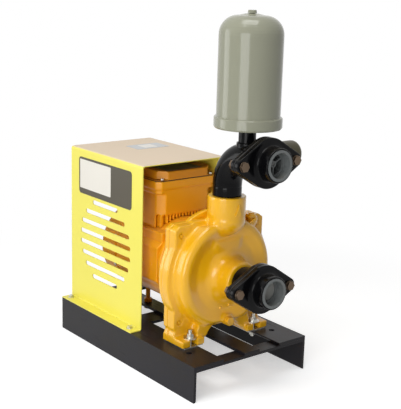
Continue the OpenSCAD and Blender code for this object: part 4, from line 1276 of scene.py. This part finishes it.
@dataclass(frozen=True)
class Lamp:
    """One soft lamp: where it hangs, what it points at, its size in metres and its power in watts."""

    name: str
    place: Point
    target: Point
    size: Pair
    power: float

    def hang(self) -> None:
        """Hangs the lamp."""
        data = bpy.data.lights.new(self.name, "AREA")
        data.shape = "RECTANGLE"
        data.size, data.size_y = self.size
        data.energy = self.power
        holder = placed(self.name, data)
        holder.location = self.place
        aim = Vector(self.target) - Vector(self.place)
        holder.rotation_euler = aim.to_track_quat("-Z", "Y").to_euler()


@dataclass
class Studio:
    """The camera at the photograph's angle, soft lamps, a pale floor and a white surround."""

    eye: Point = (-1.21819, -1.54968, 0.81357)
    yaw: float = 0.67898
    pitch: float = 0.23741
    roll: float = 0.02929
    lens: float = 83.1585
    sensor: float = 36.0
    # light that the white surround gives, where 1 is what is seen of it
    fill: float = 0.16
    floor_half: float = 6.0
    floor_grey: float = 0.82
    floor_glow: float = 0.5
    shadow_reach: float = 0.55
    lamps: tuple[Lamp, ...] = (
        Lamp("window_left", place=(-1.9, -1.2, 0.73), target=(0.0, 0.0, 0.45), size=(1.2, 1.4), power=29.0),
        Lamp("window_back", place=(-1.9, 1.6, 0.73), target=(0.0, 0.0, 0.45), size=(1.1, 1.4), power=18.5),
        Lamp("ceiling", place=(-0.3, -0.3, 2.4), target=(0.0, 0.0, 0.3), size=(1.2, 1.2), power=28.0),
    )

    def camera(self) -> None:
        """Sets the camera."""
        flat = math.cos(self.pitch)
        look = Vector((math.sin(self.yaw) * flat, math.cos(self.yaw) * flat, -math.sin(self.pitch)))
        level = Vector((math.cos(self.yaw), -math.sin(self.yaw), 0.0))
        rise = level.cross(look)
        right = level * math.cos(self.roll) + rise * math.sin(self.roll)
        up = rise * math.cos(self.roll) - level * math.sin(self.roll)
        view = bpy.data.cameras.new("photo_camera")
        view.lens = self.lens
        view.sensor_width = self.sensor
        holder = placed("photo_camera", view)
        turn = Matrix((right, up, -look)).transposed().to_4x4()
        holder.matrix_world = Matrix.Translation(self.eye) @ turn
        bpy.context.scene.camera = holder

    def seen(self, kit: NodeKit) -> NodeSocket:
        """Gives 1 where the camera, a mirror or a glass looks and 0 for the light that falls on things.


        Returns:
            The socket with the 1 or 0.
        """
        path = kit.add("ShaderNodeLightPath").outputs
        either = kit.calc("MAXIMUM", path["Is Camera Ray"], path["Is Glossy Ray"])
        return kit.calc("MAXIMUM", either, path["Is Transmission Ray"])

    def surround(self) -> None:
        """Makes the world white where it is seen and softer where it only gives light."""
        world = bpy.data.worlds.new("white_surround")
        bpy.context.scene.world = world
        kit = emptied(world)
        strength = kit.calc("MULTIPLY_ADD", self.seen(kit), 1.0 - self.fill, self.fill)
        glow = kit.add("ShaderNodeBackground", {"Color": WHITE, "Strength": strength})
        kit.add("ShaderNodeOutputWorld", {"Surface": glow.outputs[0]})

    def floor(self) -> None:
        """Lays the floor and lets it be seen nearly white, with the shadow kept."""
        work = bmesh.new()
        bmesh.ops.create_grid(work, x_segments=1, y_segments=1, size=self.floor_half)
        made = placed("floor", mesh_of(work, "floor"))
        paper = bpy.data.materials.new("floor_paper")
        kit = emptied(paper)
        grey = (self.floor_grey, self.floor_grey, self.floor_grey, 1.0)
        seen = self.seen(kit)
        matt = kit.add("ShaderNodeBsdfDiffuse", {"Color": grey}).outputs[0]
        part = kit.calc("MULTIPLY", seen, self.floor_glow)
        glow = kit.add("ShaderNodeEmission", {"Color": WHITE, "Strength": part}).outputs[0]
        near = kit.add("ShaderNodeAddShader", {0: matt, 1: glow}).outputs[0]
        away = kit.add("ShaderNodeVectorMath", {0: kit.place()}, operation="LENGTH").outputs["Value"]
        far = kit.calc("MULTIPLY", kit.span(away, self.shadow_reach, self.shadow_reach * 2.0), seen)
        plain = kit.add("ShaderNodeEmission", {"Color": WHITE, "Strength": 1.0}).outputs[0]
        mixed = kit.add("ShaderNodeMixShader", {0: far, 1: near, 2: plain}).outputs[0]
        kit.add("ShaderNodeOutputMaterial", {"Surface": mixed})
        made.data.materials.append(paper)

    def build(self) -> None:
        """Sets up the whole studio."""
        scene = bpy.context.scene
        scene.view_settings.view_transform = "Standard"
        self.camera()
        self.surround()
        self.floor()
        for lamp in self.lamps:
            lamp.hang()


def main() -> None:
    """Builds and dresses the whole set in order."""
    logging.basicConfig(level=logging.INFO, format="%(message)s")
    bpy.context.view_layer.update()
    Studio().build()
    dress_solids()
    parts = (PumpEnd(), MotorAndDrive(), SheetCover(), Pipework(), CheckValves(), Threads(), WeldBeads())
    for part in parts:
        part.build()
        log.info("%s built", type(part).__name__)


if __name__ == "__main__":
    main()
